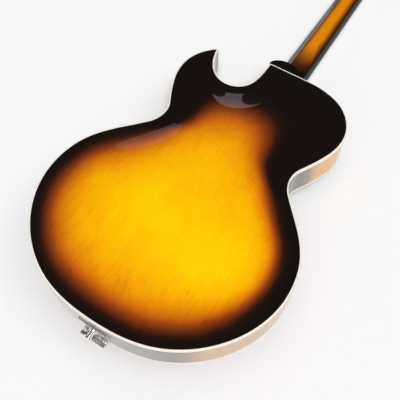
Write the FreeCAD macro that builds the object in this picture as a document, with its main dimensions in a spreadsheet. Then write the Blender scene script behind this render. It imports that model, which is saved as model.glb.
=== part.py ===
import FreeCAD, Part
import math
import os
import types
from FreeCAD import Placement, Rotation, Vector

# A single-cutaway electric archtop guitar, strung, lying face down with its back up.
# Three frames are used. In the body frame the tail is at the origin, +Y runs to the
# neck, +X is the bass side, z is 0 on the front edge and rises to the back edge. In the
# neck frame y is 0 at the body joint and z is 0 on the fingerboard's face. In the head
# frame y is 0 behind the nut and z is 0 on the wood of the headstock's face.

SIZES = (
    # body
    ("body_length", 522), ("lower_bout_width", 406), ("waist_width", 232.4),
    ("upper_bout_width", 300.8), ("cutaway_wall_offset", 25.5), ("rim_depth", 60),
    ("rim_thickness", 2.5), ("plate_thickness", 4.5), ("plate_bed", 0.3),
    ("back_arch", 15), ("top_arch", 15), ("arch_reach", 42), ("arch_margin", 8),
    ("arch_nearest", 0.04),
    ("binding_width", 2), ("binding_height", 6),
    ("lining_width", 6), ("lining_height", 12),
    ("neck_block_width", 62), ("neck_block_length", 48),
    ("tail_block_width", 90), ("tail_block_length", 26),
    ("tone_bar_width", 8), ("tone_bar_spacing", 104), ("tone_bar_level", 4),
    ("sound_hole_width", 8), ("sound_hole_eye_radius", 7.5),
    ("sound_hole_spacing", 178), ("sound_hole_lead", 20), ("sound_hole_length", 118),
    ("sound_hole_slant", 14), ("sound_hole_nick", 4),
    # neck
    ("scale_length", 628.65), ("neck_pitch", 3.2), ("board_rise", 16),
    ("board_thickness", 6), ("board_radius", 305), ("board_binding", 1.5),
    ("board_end_margin", 8), ("nut_width", 43), ("joint_width", 53.5),
    ("fret_width", 2.4), ("fret_height", 1.1), ("fret_tang_width", 0.6),
    ("fret_tang_depth", 1.6), ("marker_radius", 3), ("marker_depth", 1.5),
    ("marker_pair_spacing", 24),
    ("nut_thickness", 5), ("nut_height", 8.2), ("neck_depth_at_nut", 15),
    ("neck_depth_at_heel", 18), ("heel_width", 54), ("heel_cap_depth", 18),
    ("heel_root_depth", 78), ("tenon_width", 30), ("tenon_length", 40),
    ("tenon_height", 40), ("tongue_length", 80), ("tongue_thickness", 4),
    ("truss_rod_radius", 2.5), ("truss_channel_width", 6), ("truss_channel_depth", 10),
    ("truss_rod_length", 380), ("truss_nut_length", 14),
    ("truss_pocket_width", 12), ("truss_pocket_length", 26),
    # headstock
    ("head_pitch", 14), ("head_length", 182), ("head_thickness", 14),
    ("head_width", 78), ("head_neck_width", 46), ("headplate_thickness", 1.6),
    ("truss_cover_width", 24), ("truss_cover_length", 40), ("truss_cover_thickness", 1.8),
    ("truss_cover_setback", 3), ("cover_screw_inset", 5),
    # tuners
    ("tuner_first", 40), ("tuner_spacing", 42), ("tuner_offset", 25.5),
    ("post_radius", 3), ("post_rise", 13), ("bushing_radius", 4.3),
    ("bushing_depth", 7), ("bushing_flange_radius", 6), ("bushing_flange", 1.4),
    ("gear_radius", 5.5), ("gear_thickness", 4), ("gear_lift", 1.2),
    ("worm_radius", 2.5), ("worm_length", 11), ("worm_gap", 0.4),
    ("key_shaft_radius", 1.8), ("key_reach", 34), ("key_collar_radius", 3.2),
    ("key_collar_length", 4), ("button_radius", 8.5), ("button_fillet", 2.6),
    ("button_thickness", 7), ("housing_wall", 1), ("housing_length", 21),
    ("housing_width", 22), ("housing_height", 8.4), ("housing_fillet", 2),
    ("housing_tab", 7), ("housing_tab_thickness", 1.2),
    # strings
    ("string_1_diameter", 0.3), ("string_2_diameter", 0.41), ("string_3_diameter", 0.6),
    ("string_4_diameter", 0.81), ("string_5_diameter", 1.07), ("string_6_diameter", 1.32),
    ("nut_string_spread", 35.5), ("saddle_string_spread", 52),
    ("nut_string_height", 1.6), ("saddle_string_height", 4.6),
    ("string_bend", 6), ("string_clearance", 0.12), ("ball_end_radius", 1.9),
    ("ball_end_length", 4), ("winding_gap", 0.6), ("winding_clearance", 0.3),
    # bridge
    ("saddle_length", 118), ("saddle_width", 9), ("saddle_height", 10),
    ("saddle_shoulder", 4.5), ("saddle_crest_length", 66), ("wheel_radius", 9),
    ("wheel_thickness", 2.6), ("wheel_gap", 1.8), ("wheel_notch_radius", 0.7),
    ("bridge_post_radius", 2), ("bridge_post_spacing", 74), ("bridge_post_length", 11),
    ("bridge_base_length", 142), ("bridge_base_width", 14), ("bridge_base_fillet", 3),
    # tailpiece
    ("hanger_width", 48), ("hanger_rise", 34), ("hanger_thickness", 1.8),
    ("hanger_screw_spacing", 32),
    ("hinge_radius", 3.6), ("hinge_reach", 7), ("hinge_drop", 3), ("hinge_length", 26),
    ("pin_radius", 1.5), ("eye_length", 7), ("eye_gap", 0.5), ("trapeze_rod_radius", 2.5),
    ("trapeze_bar_radius", 5.5), ("trapeze_bar_length", 96), ("trapeze_reach", 118),
    ("trapeze_level", 18), ("strap_button_radius", 6.5), ("strap_button_neck", 4),
    ("strap_button_length", 13), ("strap_button_lip", 2.5), ("strap_button_level", 19),
    ("strap_screw_radius", 1.8), ("strap_screw_length", 22),
    # pickups
    ("pickup_length", 70), ("pickup_width", 38), ("pickup_height", 17),
    ("pickup_wall", 0.8), ("pickup_fillet", 2.5), ("pickup_string_gap", 3),
    ("ring_length", 91), ("ring_width", 46), ("ring_face_level", 7),
    ("ring_clearance", 0.6), ("ring_fillet", 3), ("ring_screw_inset", 4.5),
    ("neck_pickup_gap", 3), ("bridge_pickup_offset", 44), ("pole_radius", 2.3),
    ("pole_rise", 0.8), ("pole_row_offset", 9.5), ("pole_spread", 50),
    # controls
    ("knob_radius", 12), ("knob_top_radius", 9.6), ("knob_height", 13.5),
    ("knob_skirt", 4), ("knob_recess_radius", 8.6), ("knob_recess", 4.6),
    ("knob_gap", 3.6), ("pot_shaft_radius", 3), ("pot_shaft_length", 20),
    ("pot_bushing_radius", 4.7), ("pot_bushing_rise", 6.6), ("pot_nut_radius", 7),
    ("pot_nut_thickness", 2.4), ("pot_nut_seat", 0.4), ("pot_can_radius", 12),
    ("pot_can_height", 9), ("pot_seat", 0.8),
    ("switch_length", 26), ("switch_width", 15), ("switch_height", 24),
    ("switch_collar_radius", 6), ("switch_collar_rise", 5.5),
    ("switch_nut_radius", 9), ("switch_nut_thickness", 2.6), ("lever_radius", 1.7),
    ("lever_rise", 17), ("lever_ball_radius", 4.3), ("lever_ball_drop", 3.2),
    ("lever_tip_radius", 3.8), ("lever_tip_length", 9),
    ("lever_pin_radius", 1), ("lever_pin_length", 11),
    # output jack
    ("jack_plate_size", 36), ("jack_plate_thickness", 1.6), ("jack_collar_radius", 4.7),
    ("jack_bore_radius", 3.25), ("jack_rise", 5.2), ("jack_nut_radius", 8),
    ("jack_nut_thickness", 2.4), ("jack_body_radius", 8), ("jack_body_length", 20),
    ("jack_setback", 1), ("jack_screw_inset", 5),
    # pickguard
    ("guard_thickness", 2.5), ("guard_face_level", 4), ("guard_gap", 2.5),
    ("guard_width", 38), ("guard_length", 168), ("guard_post_radius", 4),
    ("guard_rod_radius", 1.6), ("guard_foot_radius", 5), ("guard_foot_thickness", 2),
    ("guard_rod_clearance", 1.5), ("guard_foot_level", 22),
    # fastenings, leads and fits
    ("screw_radius", 1.2), ("screw_head_radius", 2.4), ("screw_length", 12),
    ("screw_head_thickness", 1.2), ("lead_radius", 1.5), ("lead_bend", 6),
    ("lead_rise", 14), ("lead_gap", 0.3),
    ("running_fit", 0.08), ("hole_fit", 0.15), ("overrun", 1),
)
FRET_COUNT = 20
JOINT_FRET = 14
MARKED_FRETS = (3, 5, 7, 9, 15, 17, 19)
OCTAVE_FRET = 12
STRINGS = 6
WINDING_TURNS = 3
SAMPLES_PER_TURN = 40
WHEEL_NOTCHES = 24
ARCH_SAMPLES = 700
ARCH_COLUMNS = 30
ARCH_ROWS = 38

# Outline points: across, as shares of the half width named, along, as shares of the body
# length, and the heading in degrees, going round from the tail over the bass side.
LOWER_BOUT_SHARES = ((0.2626, 0.0077, 9.8), (0.5256, 0.0412, 27.5), (0.7502, 0.1048, 45),
                     (0.9138, 0.1916, 62.8), (1, 0.3257, 90), (0.9236, 0.4522, 118.5),
                     (0.7365, 0.5467, 133.4))
WAIST_SHARES = ((1, 0.6513, 90),)
UPPER_BOUT_SHARES = ((0.8697, 0.7215, 62.4), (1, 0.8448, 90), (0.8597, 0.9439, 133),
                     (0.7779, 0.9642, 144.5), (0.6197, 0.9866, 162), (0.3324, 1, 180))
CUTAWAY_SHARES = ((0.1755, 0.9341, 264.7), (0.2214, 0.8851, 238), (0.4388, 0.8511, 180),
                  (0.6077, 0.8686, 142.5), (0.7174, 0.909, 117), (0.7779, 0.9642, 99))
BASS_POINTS_PAST_TIP = 2
JACK_POINT = 4
# Half outline of the headstock: across and along as shares of its width and length.
HEAD_SHARES = ((0.5, 0.24), (0.44, 0.93), (0.2, 0.985), (0, 1))
# Places of the four knobs and the switch: across and along the body.
KNOB_SHARES = (("neck_volume", -0.215, 0.345), ("bridge_volume", -0.2, 0.245),
               ("neck_tone", -0.325, 0.33), ("bridge_tone", -0.305, 0.225))
SWITCH_SHARES = (0.315, 0.868)
# Ends of the tone bars along the body.
TONE_BAR_SHARES = (0.23, 0.805)
# The heel's levels from the fingerboard to the back, and how far it stands out at each.
HEEL_SHARES = ((0, 1), (0.12, 0.86), (0.26, 0.52), (0.42, 0.26), (0.65, 0.1), (1, 0))
# Outline of the pickguard and its post: across and along as shares of its size.
GUARD_SHARES = ((0, 0), (0, 0.93), (0.12, 1), (0.3, 1), (1, 0.62), (0.92, 0.2), (0.4, 0))
GUARD_POST_SHARES = (0.25, 0.9)

doc = FreeCAD.newDocument("archtop_guitar")
sheet = doc.addObject("Spreadsheet::Sheet", "sizes")
for row, (alias, value) in enumerate(SIZES, 1):
    sheet.set("A%d" % row, alias)
    sheet.set("B%d" % row, str(value))
    sheet.setAlias("B%d" % row, alias)
doc.recompute()
size = types.SimpleNamespace(**{alias: float(sheet.get(alias)) for alias, value in SIZES})
X_AXIS = Vector(1, 0, 0)
Y_AXIS = Vector(0, 1, 0)
Z_AXIS = Vector(0, 0, 1)
nodes = []


# Helpers for bound objects of the document

def primitive(kind, name, place=None, **formulas):
    """A Part primitive whose properties follow formulas of the sheet."""
    made = doc.addObject("Part::" + kind, name)
    for prop, formula in formulas.items():
        made.setExpression(prop, formula)
    if place is not None:
        made.Placement = place
    return made


def boolean(kind, name, base, tool):
    """Part::Cut, Part::Fuse or Part::Common of two objects."""
    made = doc.addObject("Part::" + kind, name)
    made.Base = base
    made.Tool = tool
    return made


def rounded(name, base, formula, wanted):
    """Fillet the edges of a base for which wanted(edge) is true."""
    doc.recompute()
    made = doc.addObject("Part::Fillet", name)
    made.Base = base
    radius = float(sheet.get(formula))
    made.Edges = [(number, radius, radius)
                  for number, edge in enumerate(base.Shape.Edges, 1) if wanted(edge)]
    return made


def along_z(edge):
    """True for a straight edge along z."""
    first, last = edge.Vertexes[0].Point, edge.Vertexes[-1].Point
    return abs(first.z - last.z) > 0.99 * edge.Length


def is_circle(edge):
    """True for a closed round edge."""
    return edge.Closed and edge.Curve.TypeId == "Part::GeomCircle"


def feature(name, shape):
    """A plain shape as an object of the document."""
    made = doc.addObject("Part::Feature", name)
    made.Shape = shape
    return made


def shape_of(thing):
    """The computed shape of an object."""
    doc.recompute()
    return thing.Shape


def origin_plane(body, role):
    return [f for f in body.Origin.OriginFeatures if f.Role == role][0]


def sketch_body(name, plane, edges):
    """A PartDesign body with one sketch of given lines and arcs on an origin plane."""
    body = doc.addObject("PartDesign::Body", name)
    sketch = body.newObject("Sketcher::SketchObject", name + "_profile")
    sketch.AttachmentSupport = (origin_plane(body, plane), [""])
    sketch.MapMode = "FlatFace"
    for edge in edges:
        sketch.addGeometry(edge, False)
    return body, sketch


def padded(name, plane, edges, formula, midplane=False):
    """A body padded from a sketch by a length of the sheet."""
    body, sketch = sketch_body(name, plane, edges)
    pad = body.newObject("PartDesign::Pad", name + "_pad")
    pad.Profile = sketch
    pad.setExpression("Length", formula)
    pad.Midplane = midplane
    return body


def turned(name, points):
    """A body turned about Z from a closed profile of (radius, height) points."""
    corners = [Vector(r, h, 0) for r, h in points]
    edges = [Part.LineSegment(a, b) for a, b in zip(corners, corners[1:] + corners[:1])]
    body, sketch = sketch_body(name, "XZ_Plane", edges)
    turn = body.newObject("PartDesign::Revolution", name + "_turn")
    turn.Profile = sketch
    turn.ReferenceAxis = (sketch, ["V_Axis"])
    turn.Angle = 360
    return body


def polygon(points):
    """Closed sketch lines through points of a plane."""
    corners = [Vector(a, b, 0) for a, b in points]
    return [Part.LineSegment(a, b) for a, b in zip(corners, corners[1:] + corners[:1])]


def node(made, frame, label=None):
    """Register a sub-part with the frame that it is modelled in."""
    made.Label = label or made.Name
    nodes.append((made, frame))
    return made


def group(name, shapes, frame):
    """Several separate solids of one kind as one sub-part."""
    return node(feature(name, Part.makeCompound(shapes)), frame)


def moved(shape, place):
    """A copy of a shape carried by a placement."""
    copy = shape.copy()
    copy.Placement = place.multiply(copy.Placement)
    return copy


def block(x_low, x_high, y_low, y_high, z_low, z_high):
    """A plain box between limits."""
    return Part.makeBox(x_high - x_low, y_high - y_low, z_high - z_low,
                        Vector(x_low, y_low, z_low))


def rod(start, end, radius):
    """A round bar between two points."""
    run = end - start
    return Part.makeCylinder(radius, run.Length, start, run)


# Helpers for arcs and tubes

def heading(angle):
    return Vector(math.cos(math.radians(angle)), math.sin(math.radians(angle)), 0)


def arc(start, tangent, end):
    """The arc, or line, that leaves start along a tangent and reaches end."""
    chord = end - start
    side = chord - tangent * chord.dot(tangent)
    if side.Length < chord.Length * 1e-6:
        return Part.makeLine(start, end)
    radius = chord.dot(chord) / (2 * side.Length)
    centre = start + side.normalize() * radius
    middle = centre + ((start + end) * 0.5 - centre).normalize() * radius
    return Part.Arc(start, middle, end).toShape()


def biarc(start, leaving, end, arriving):
    """Two tangent arcs from a point and direction to another."""
    chord = end - start
    both = chord.dot(leaving + arriving)
    bend = 2 * (1 - leaving.dot(arriving))
    if bend < 1e-9:
        reach = chord.dot(chord) / (4 * chord.dot(arriving))
    else:
        reach = (math.sqrt(both * both + bend * chord.dot(chord)) - both) / bend
    middle = (start + end + (leaving - arriving) * reach) * 0.5
    return [arc(start, leaving, middle), arc(end, arriving * -1, middle)]


def chain(anchors):
    """Biarcs through points of a plan with headings."""
    edges = []
    for (x0, y0, a0), (x1, y1, a1) in zip(anchors, anchors[1:]):
        edges += biarc(Vector(x0, y0, 0), heading(a0), Vector(x1, y1, 0), heading(a1))
    return edges


def rounded_path(points, bend):
    """Straight runs between points with tangent arcs at the corners."""
    edges = []
    start = points[0]
    for before, corner, after in zip(points, points[1:], points[2:]):
        arriving = (corner - before).normalize()
        leaving = (after - corner).normalize()
        half_turn = math.acos(max(-1, min(1, arriving.dot(leaving)))) / 2
        reach = bend * math.tan(half_turn)
        inner = (leaving - arriving).normalize()
        middle = corner + inner * (bend / math.cos(half_turn) - bend)
        edges.append(Part.makeLine(start, corner - arriving * reach))
        edges.append(Part.Arc(corner - arriving * reach, middle,
                              corner + leaving * reach).toShape())
        start = corner + leaving * reach
    edges.append(Part.makeLine(start, points[-1]))
    return edges


def tube(edges, radius):
    """A round tube along a path of tangent edges."""
    path = Part.Wire(edges)
    first = edges[0]
    begin = first.valueAt(first.FirstParameter)
    ring = Part.makeCircle(radius, begin, first.tangentAt(first.FirstParameter))
    return path.makePipeShell([Part.Wire(ring)], True, False)


def slab(wire, low, high):
    """The prism of a closed plan wire between two levels."""
    face = Part.Face(wire)
    face.translate(Vector(0, 0, low))
    return face.extrude(Vector(0, 0, high - low))


def one_solid(shape):
    """The single solid that a boolean leaves."""
    solids = shape.removeSplitter().Solids
    if len(solids) != 1:
        raise RuntimeError("expected one solid, found %d" % len(solids))
    return solids[0]


# Outline of the body

half_lower = size.lower_bout_width / 2
half_waist = size.waist_width / 2
half_upper = size.upper_bout_width / 2
bass_points = [(0, 0, 0)]
for half, table in ((half_lower, LOWER_BOUT_SHARES), (half_waist, WAIST_SHARES),
                    (half_upper, UPPER_BOUT_SHARES)):
    bass_points += [(half * a, size.body_length * b, turn) for a, b, turn in table]
neck_corner = Vector(-size.cutaway_wall_offset, size.body_length, 0)
cutaway_points = [(neck_corner.x, neck_corner.y, 270)]
cutaway_points += [(-half_upper * a, size.body_length * b, turn)
                   for a, b, turn in CUTAWAY_SHARES]
treble_points = [(-x, y, -turn) for x, y, turn in
                 reversed(bass_points[:-BASS_POINTS_PAST_TIP])]
shoulder = Part.makeLine(Vector(bass_points[-1][0], bass_points[-1][1], 0), neck_corner)
outline_edges = chain(bass_points) + [shoulder] + chain(cutaway_points) + chain(treble_points)
outline = Part.Wire(Part.__sortEdges__(outline_edges))
horn_tip = Vector(treble_points[0][0], treble_points[0][1], 0)
binding_line = outline.makeOffset2D(-size.binding_width)
rim_line = outline.makeOffset2D(-size.rim_thickness)
lining_line = outline.makeOffset2D(-size.rim_thickness - size.lining_width)
feature("outline", outline)
feature("binding_line", binding_line)

# Arching: one smooth dome over the binding line, level at the edge. With r the distance
# to a point of the edge, reach = (sum of ds / r^3)^(-1/2) grows like the distance from the
# edge, and the height share is 1 - exp(-(reach / arch_reach)^2).

edge_points = [(p.x, p.y) for p in binding_line.discretize(Number=ARCH_SAMPLES)[:-1]]
edge_step = binding_line.Length / len(edge_points)


def arch_share(x, y):
    total = 0
    for a, b in edge_points:
        squared = max((x - a) ** 2 + (y - b) ** 2, size.arch_nearest ** 2)
        total += 1 / (squared * math.sqrt(squared))
    return 1 - math.exp(-1 / (total * edge_step * size.arch_reach ** 2))


def dome(level, rise):
    """The arched face over a level, as a spline through a grid of heights."""
    width = size.lower_bout_width + 2 * size.arch_margin
    length = size.body_length + 2 * size.arch_margin
    rows = []
    for column in range(ARCH_COLUMNS):
        x = width * (column / (ARCH_COLUMNS - 1) - 0.5)
        row = []
        for step in range(ARCH_ROWS):
            y = length * step / (ARCH_ROWS - 1) - size.arch_margin
            row.append(Vector(x, y, level + rise * arch_share(x, y)))
        rows.append(row)
    surface = Part.BSplineSurface()
    surface.interpolate(rows)
    return surface


back_surface = dome(size.rim_depth, size.back_arch)
top_surface = dome(0, -size.top_arch)
body_solid_depth = size.rim_depth / 2
inside_top = top_surface.toShape().extrude(Vector(0, 0, body_solid_depth))
full_plate = size.plate_thickness + size.plate_bed


def top_point(x, y):
    """Placement on the top's outer face, x across the body and z along the outward normal."""
    u, v = top_surface.parameter(Vector(x, y, 0))
    point = top_surface.value(u, v)
    normal = top_surface.normal(u, v)
    if normal.z > 0:
        normal = normal * -1
    return Placement(point, Rotation(X_AXIS, normal.cross(X_AXIS), normal, "ZXY"))


# Frames

fret_ratio = 2 ** (-1 / 12)
joint_to_nut = size.scale_length * (1 - fret_ratio ** JOINT_FRET)
saddle_y = joint_to_nut - size.scale_length
board_end_y = joint_to_nut - size.scale_length * (1 - fret_ratio ** FRET_COUNT)
board_end_y -= size.board_end_margin
body_to_neck = Placement(Vector(0, 0, 0), Rotation(X_AXIS, -size.neck_pitch)).multiply(
    Placement(Vector(0, -size.body_length, size.board_rise), Rotation()))
neck_to_body = body_to_neck.inverse()
head_to_neck = Placement(Vector(0, joint_to_nut + size.nut_thickness, size.board_thickness
                                + size.headplate_thickness),
                         Rotation(X_AXIS, size.head_pitch))
neck_to_head = head_to_neck.inverse()
inside_top_neck = moved(inside_top, body_to_neck)


def board_half_width(y):
    """Half width of the fingerboard at a place along the neck."""
    return (size.joint_width + (size.nut_width - size.joint_width) * y / joint_to_nut) / 2


# Screws: one shape stands for the screw and for the hole that it fills.

def screw(place):
    """A small wood screw along -z of its place, its head sunk level with the face."""
    head = Part.makeCone(size.screw_radius, size.screw_head_radius,
                         size.screw_head_thickness,
                         Vector(0, 0, -size.screw_head_thickness))
    shank = Part.makeCylinder(size.screw_radius, size.screw_length,
                              Vector(0, 0, -size.screw_length))
    return moved(one_solid(head.fuse(shank)), place)


# Controls on the top

knob_places = [(name, top_point(size.lower_bout_width * a, size.body_length * b))
               for name, a, b in KNOB_SHARES]
switch_place = top_point(size.upper_bout_width * SWITCH_SHARES[0],
                         size.body_length * SWITCH_SHARES[1])
pot_top = -full_plate - size.pot_seat
can = primitive("Cylinder", "pot_can", Placement(Vector(0, 0, pot_top - size.pot_can_height),
                                                 Rotation()),
                Radius="sizes.pot_can_radius", Height="sizes.pot_can_height")
bushing = primitive("Cylinder", "pot_bushing", Placement(Vector(0, 0, pot_top), Rotation()),
                    Radius="sizes.pot_bushing_radius",
                    Height="sizes.plate_thickness + sizes.plate_bed + sizes.pot_seat"
                           " + sizes.pot_bushing_rise")
pot_bore = primitive("Cylinder", "pot_bore",
                     Placement(Vector(0, 0, size.knob_gap + size.knob_height
                                      - size.knob_skirt - size.pot_shaft_length
                                      - size.running_fit), Rotation()),
                     Radius="sizes.pot_shaft_radius + sizes.running_fit",
                     Height="sizes.pot_shaft_length + sizes.running_fit + sizes.overrun")
pot_body = boolean("Cut", "pot_body", boolean("Fuse", "pot_blank", can, bushing), pot_bore)
pot_nut_blank = primitive("Prism", "pot_nut_blank",
                          Placement(Vector(0, 0, size.pot_nut_seat), Rotation()),
                          Circumradius="sizes.pot_nut_radius",
                          Height="sizes.pot_nut_thickness")
pot_nut_hole = primitive("Cylinder", "pot_nut_hole",
                         Radius="sizes.pot_bushing_radius", Height="sizes.pot_bushing_rise")
pot_nut = boolean("Cut", "pot_nut", pot_nut_blank, pot_nut_hole)
pot_parts = (shape_of(pot_body), shape_of(pot_nut))
pots = [moved(part, place) for name, place in knob_places for part in pot_parts]
knob_frames = {}
for name, place in knob_places:
    low = size.knob_gap
    high = low + size.knob_height
    knob = turned("turned_" + name, (
        (size.pot_shaft_radius, low + size.knob_recess),
        (size.knob_recess_radius, low + size.knob_recess), (size.knob_recess_radius, low),
        (size.knob_radius, low), (size.knob_radius, low + size.knob_skirt),
        (size.knob_top_radius, low + size.knob_skirt), (size.knob_top_radius, high),
        (0, high), (0, high - size.knob_skirt),
        (size.pot_shaft_radius, high - size.knob_skirt)))
    shaft = primitive("Cylinder", "shaft_" + name,
                      Placement(Vector(0, 0, high - size.knob_skirt - size.pot_shaft_length),
                                Rotation()),
                      Radius="sizes.pot_shaft_radius", Height="sizes.pot_shaft_length")
    pair = doc.addObject("Part::Compound", "control_" + name)
    pair.Links = [knob, shaft]
    node(pair, ("body", place), "knob_" + name)
    knob_frames[name] = place
group("control_pots", pots, ("body", None))

# Selector switch

lever_pivot = -size.lever_ball_drop
switch_bore_radius = size.lever_ball_radius + size.running_fit
switch_body = block(-size.switch_width / 2, size.switch_width / 2, -size.switch_length / 2,
                    size.switch_length / 2, -full_plate - size.pot_seat - size.switch_height,
                    -full_plate - size.pot_seat)
collar = Part.makeCylinder(size.switch_collar_radius, full_plate + size.pot_seat
                           + size.switch_collar_rise,
                           Vector(0, 0, -full_plate - size.pot_seat))
throat_depth = size.lever_ball_drop + size.lever_ball_radius + switch_bore_radius
throat = Part.makeCylinder(switch_bore_radius,
                           throat_depth + size.switch_collar_rise + size.overrun,
                           Vector(0, 0, -throat_depth))
lever_pin_start = Vector(-size.lever_pin_length / 2, 0, lever_pivot)
lever_pin_hole = Part.makeCylinder(size.lever_pin_radius + size.running_fit,
                                   size.lever_pin_length + 2 * size.running_fit,
                                   lever_pin_start - X_AXIS * size.running_fit, X_AXIS)
switch_shape = one_solid(switch_body.fuse(collar).cut(throat).cut(lever_pin_hole))
nut_ring = Part.makeCylinder(size.switch_nut_radius, size.switch_nut_thickness,
                             Vector(0, 0, size.pot_nut_seat))
nut_ring = nut_ring.cut(Part.makeCylinder(size.switch_collar_radius,
                                          size.switch_collar_rise))
group("selector_switch", [moved(switch_shape, switch_place), moved(nut_ring, switch_place)],
      ("body", None))
ball = primitive("Sphere", "lever_ball", Placement(Vector(0, 0, lever_pivot), Rotation()),
                 Radius="sizes.lever_ball_radius")
stem = primitive("Cylinder", "lever_stem", Placement(Vector(0, 0, lever_pivot), Rotation()),
                 Radius="sizes.lever_radius", Height="sizes.lever_rise")
tip = primitive("Cone", "lever_tip",
                Placement(Vector(0, 0, lever_pivot + size.lever_rise - size.lever_tip_length
                                 / 2), Rotation()),
                Radius1="sizes.lever_radius + sizes.pole_rise", Radius2="sizes.lever_tip_radius",
                Height="sizes.lever_tip_length")
lever_pin = primitive("Cylinder", "lever_pin",
                      Placement(lever_pin_start, Rotation(Y_AXIS, 90)),
                      Radius="sizes.lever_pin_radius", Height="sizes.lever_pin_length")
lever = doc.addObject("Part::MultiFuse", "selector_lever_shape")
lever.Shapes = [ball, stem, tip, lever_pin]
node(lever, ("body", switch_place), "selector_lever")

# Pickups, set square to the strings

pickup_y = (board_end_y - size.neck_pickup_gap - size.ring_width / 2,
            saddle_y + size.bridge_pickup_offset)


def string_level(y):
    """Height of the middle of the string plane over the fingerboard's face."""
    share = (joint_to_nut - y) / size.scale_length
    return (size.nut_string_height * (1 - share) + size.saddle_string_height * share) * -1


pickup_places = [Placement(Vector(0, y, string_level(y) + size.pickup_string_gap), Rotation())
                 for y in pickup_y]
pole_x = [size.pole_spread * (number / (STRINGS - 1) - 0.5) for number in range(STRINGS)]
cover_blank = primitive("Box", "cover_blank",
                        Placement(Vector(-size.pickup_length / 2, -size.pickup_width / 2, 0),
                                  Rotation()),
                        Length="sizes.pickup_length", Width="sizes.pickup_width",
                        Height="sizes.pickup_height")


def upper_edge(edge):
    """True for the upright edges and the edges of the outer face."""
    return along_z(edge) or max(v.Point.z for v in edge.Vertexes) < size.pickup_wall


cover_round = rounded("cover_round", cover_blank, "pickup_fillet", upper_edge)
coil_length = size.pickup_length - 2 * size.pickup_wall - 2 * size.ring_clearance
coil_width = size.pickup_width - 2 * size.pickup_wall - 2 * size.ring_clearance
cover_hollow = primitive("Box", "cover_hollow",
                         Placement(Vector(size.pickup_wall - size.pickup_length / 2,
                                          size.pickup_wall - size.pickup_width / 2,
                                          size.pickup_wall), Rotation()),
                         Length="sizes.pickup_length - 2 * sizes.pickup_wall",
                         Width="sizes.pickup_width - 2 * sizes.pickup_wall",
                         Height="sizes.pickup_height")
cover_shell = shape_of(boolean("Cut", "cover_shell", cover_round, cover_hollow))
coil_low = size.pickup_wall + size.ring_clearance
coil_box = block(-coil_length / 2, coil_length / 2, -coil_width / 2, coil_width / 2, coil_low,
                 size.pickup_height)
pole_shapes = []
for x in pole_x:
    spot = Vector(x, size.pole_row_offset, -size.pole_rise)
    pole_shapes.append(Part.makeCylinder(size.pole_radius,
                                         size.pickup_height + size.pole_rise, spot))
poles = Part.makeCompound(pole_shapes)
cover_shell = cover_shell.cut(poles)
coil_box = coil_box.cut(poles)
flip = Placement(Vector(0, 0, 0), Rotation(Z_AXIS, 180))
faces = [pickup_places[0], pickup_places[1].multiply(flip)]
group("pickup_covers", [moved(cover_shell, place) for place in faces], ("neck", None))
group("pickup_coils", [moved(coil_box, place) for place in faces], ("neck", None))
group("pole_screws", [moved(pole, place) for place in faces for pole in pole_shapes],
      ("neck", None))
ring_screws = []
rings = []
opening_length = size.pickup_length + 2 * size.ring_clearance
opening_width = size.pickup_width + 2 * size.ring_clearance
ring_blank = primitive("Box", "ring_blank",
                       Placement(Vector(-size.ring_length / 2, -size.ring_width / 2,
                                        size.ring_face_level), Rotation()),
                       Length="sizes.ring_length", Width="sizes.ring_width",
                       Height="sizes.rim_depth / 2")
ring_round = rounded("ring_round", ring_blank, "ring_fillet", along_z)
ring_hole = primitive("Box", "ring_hole",
                      Placement(Vector(-opening_length / 2, -opening_width / 2, 0),
                                Rotation()),
                      Length="sizes.pickup_length + 2 * sizes.ring_clearance",
                      Width="sizes.pickup_width + 2 * sizes.ring_clearance",
                      Height="sizes.rim_depth")
ring_shape = shape_of(boolean("Cut", "ring_shape", ring_round, ring_hole))
turn_over = Rotation(X_AXIS, 180)
for y in pickup_y:
    place = Placement(Vector(0, y, 0), Rotation())
    ring = moved(ring_shape, place).cut(inside_top_neck)
    for a in (-1, 1):
        for b in (-1, 1):
            spot = Vector(a * (size.ring_length / 2 - size.ring_screw_inset),
                          y + b * (size.ring_width / 2 - size.ring_screw_inset),
                          size.ring_face_level)
            ring_screws.append(screw(Placement(spot, turn_over)))
    rings.append(one_solid(ring.cut(Part.makeCompound(ring_screws))))
group("pickup_rings", rings, ("neck", None))

# Sound holes: an S of two arcs with a round eye at each end and a nick each side

def sound_hole():
    """The plan face of the bass-side hole, cut through everything near the top."""
    half = size.sound_hole_length / 2
    lean = math.radians(size.sound_hole_slant)
    upper = Vector(-half * math.sin(lean), half * math.cos(lean), 0)
    start = heading(90 + 3 * size.sound_hole_slant)
    middle = heading(90 - size.sound_hole_slant)
    body_edges = biarc(upper * -1, start, Vector(0, 0, 0), middle)
    body_edges += biarc(Vector(0, 0, 0), middle, upper, start)
    line = Part.Wire(Part.__sortEdges__(body_edges))
    cutter = None
    for edge in line.Edges:
        low, high = edge.FirstParameter, edge.LastParameter
        strip = tube_strip(edge, low, high)
        cutter = strip if cutter is None else cutter.fuse(strip)
    reach = size.sound_hole_eye_radius - size.sound_hole_width / 2
    for end, side in ((upper, 1), (upper * -1, -1)):
        across = Vector(-start.y, start.x, 0)
        eye = Part.makeCylinder(size.sound_hole_eye_radius, size.rim_depth,
                                end - across * (reach * side)
                                - Vector(0, 0, size.rim_depth / 2))
        cutter = cutter.fuse(eye)
    nick = size.sound_hole_width / 2 + size.sound_hole_nick
    diamond = Part.makePolygon([Vector(nick, 0, 0), Vector(0, size.sound_hole_nick, 0),
                                Vector(-nick, 0, 0), Vector(0, -size.sound_hole_nick, 0),
                                Vector(nick, 0, 0)])
    prism = slab(diamond, -size.rim_depth / 2, size.rim_depth / 2)
    return cutter.fuse(prism)


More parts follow.
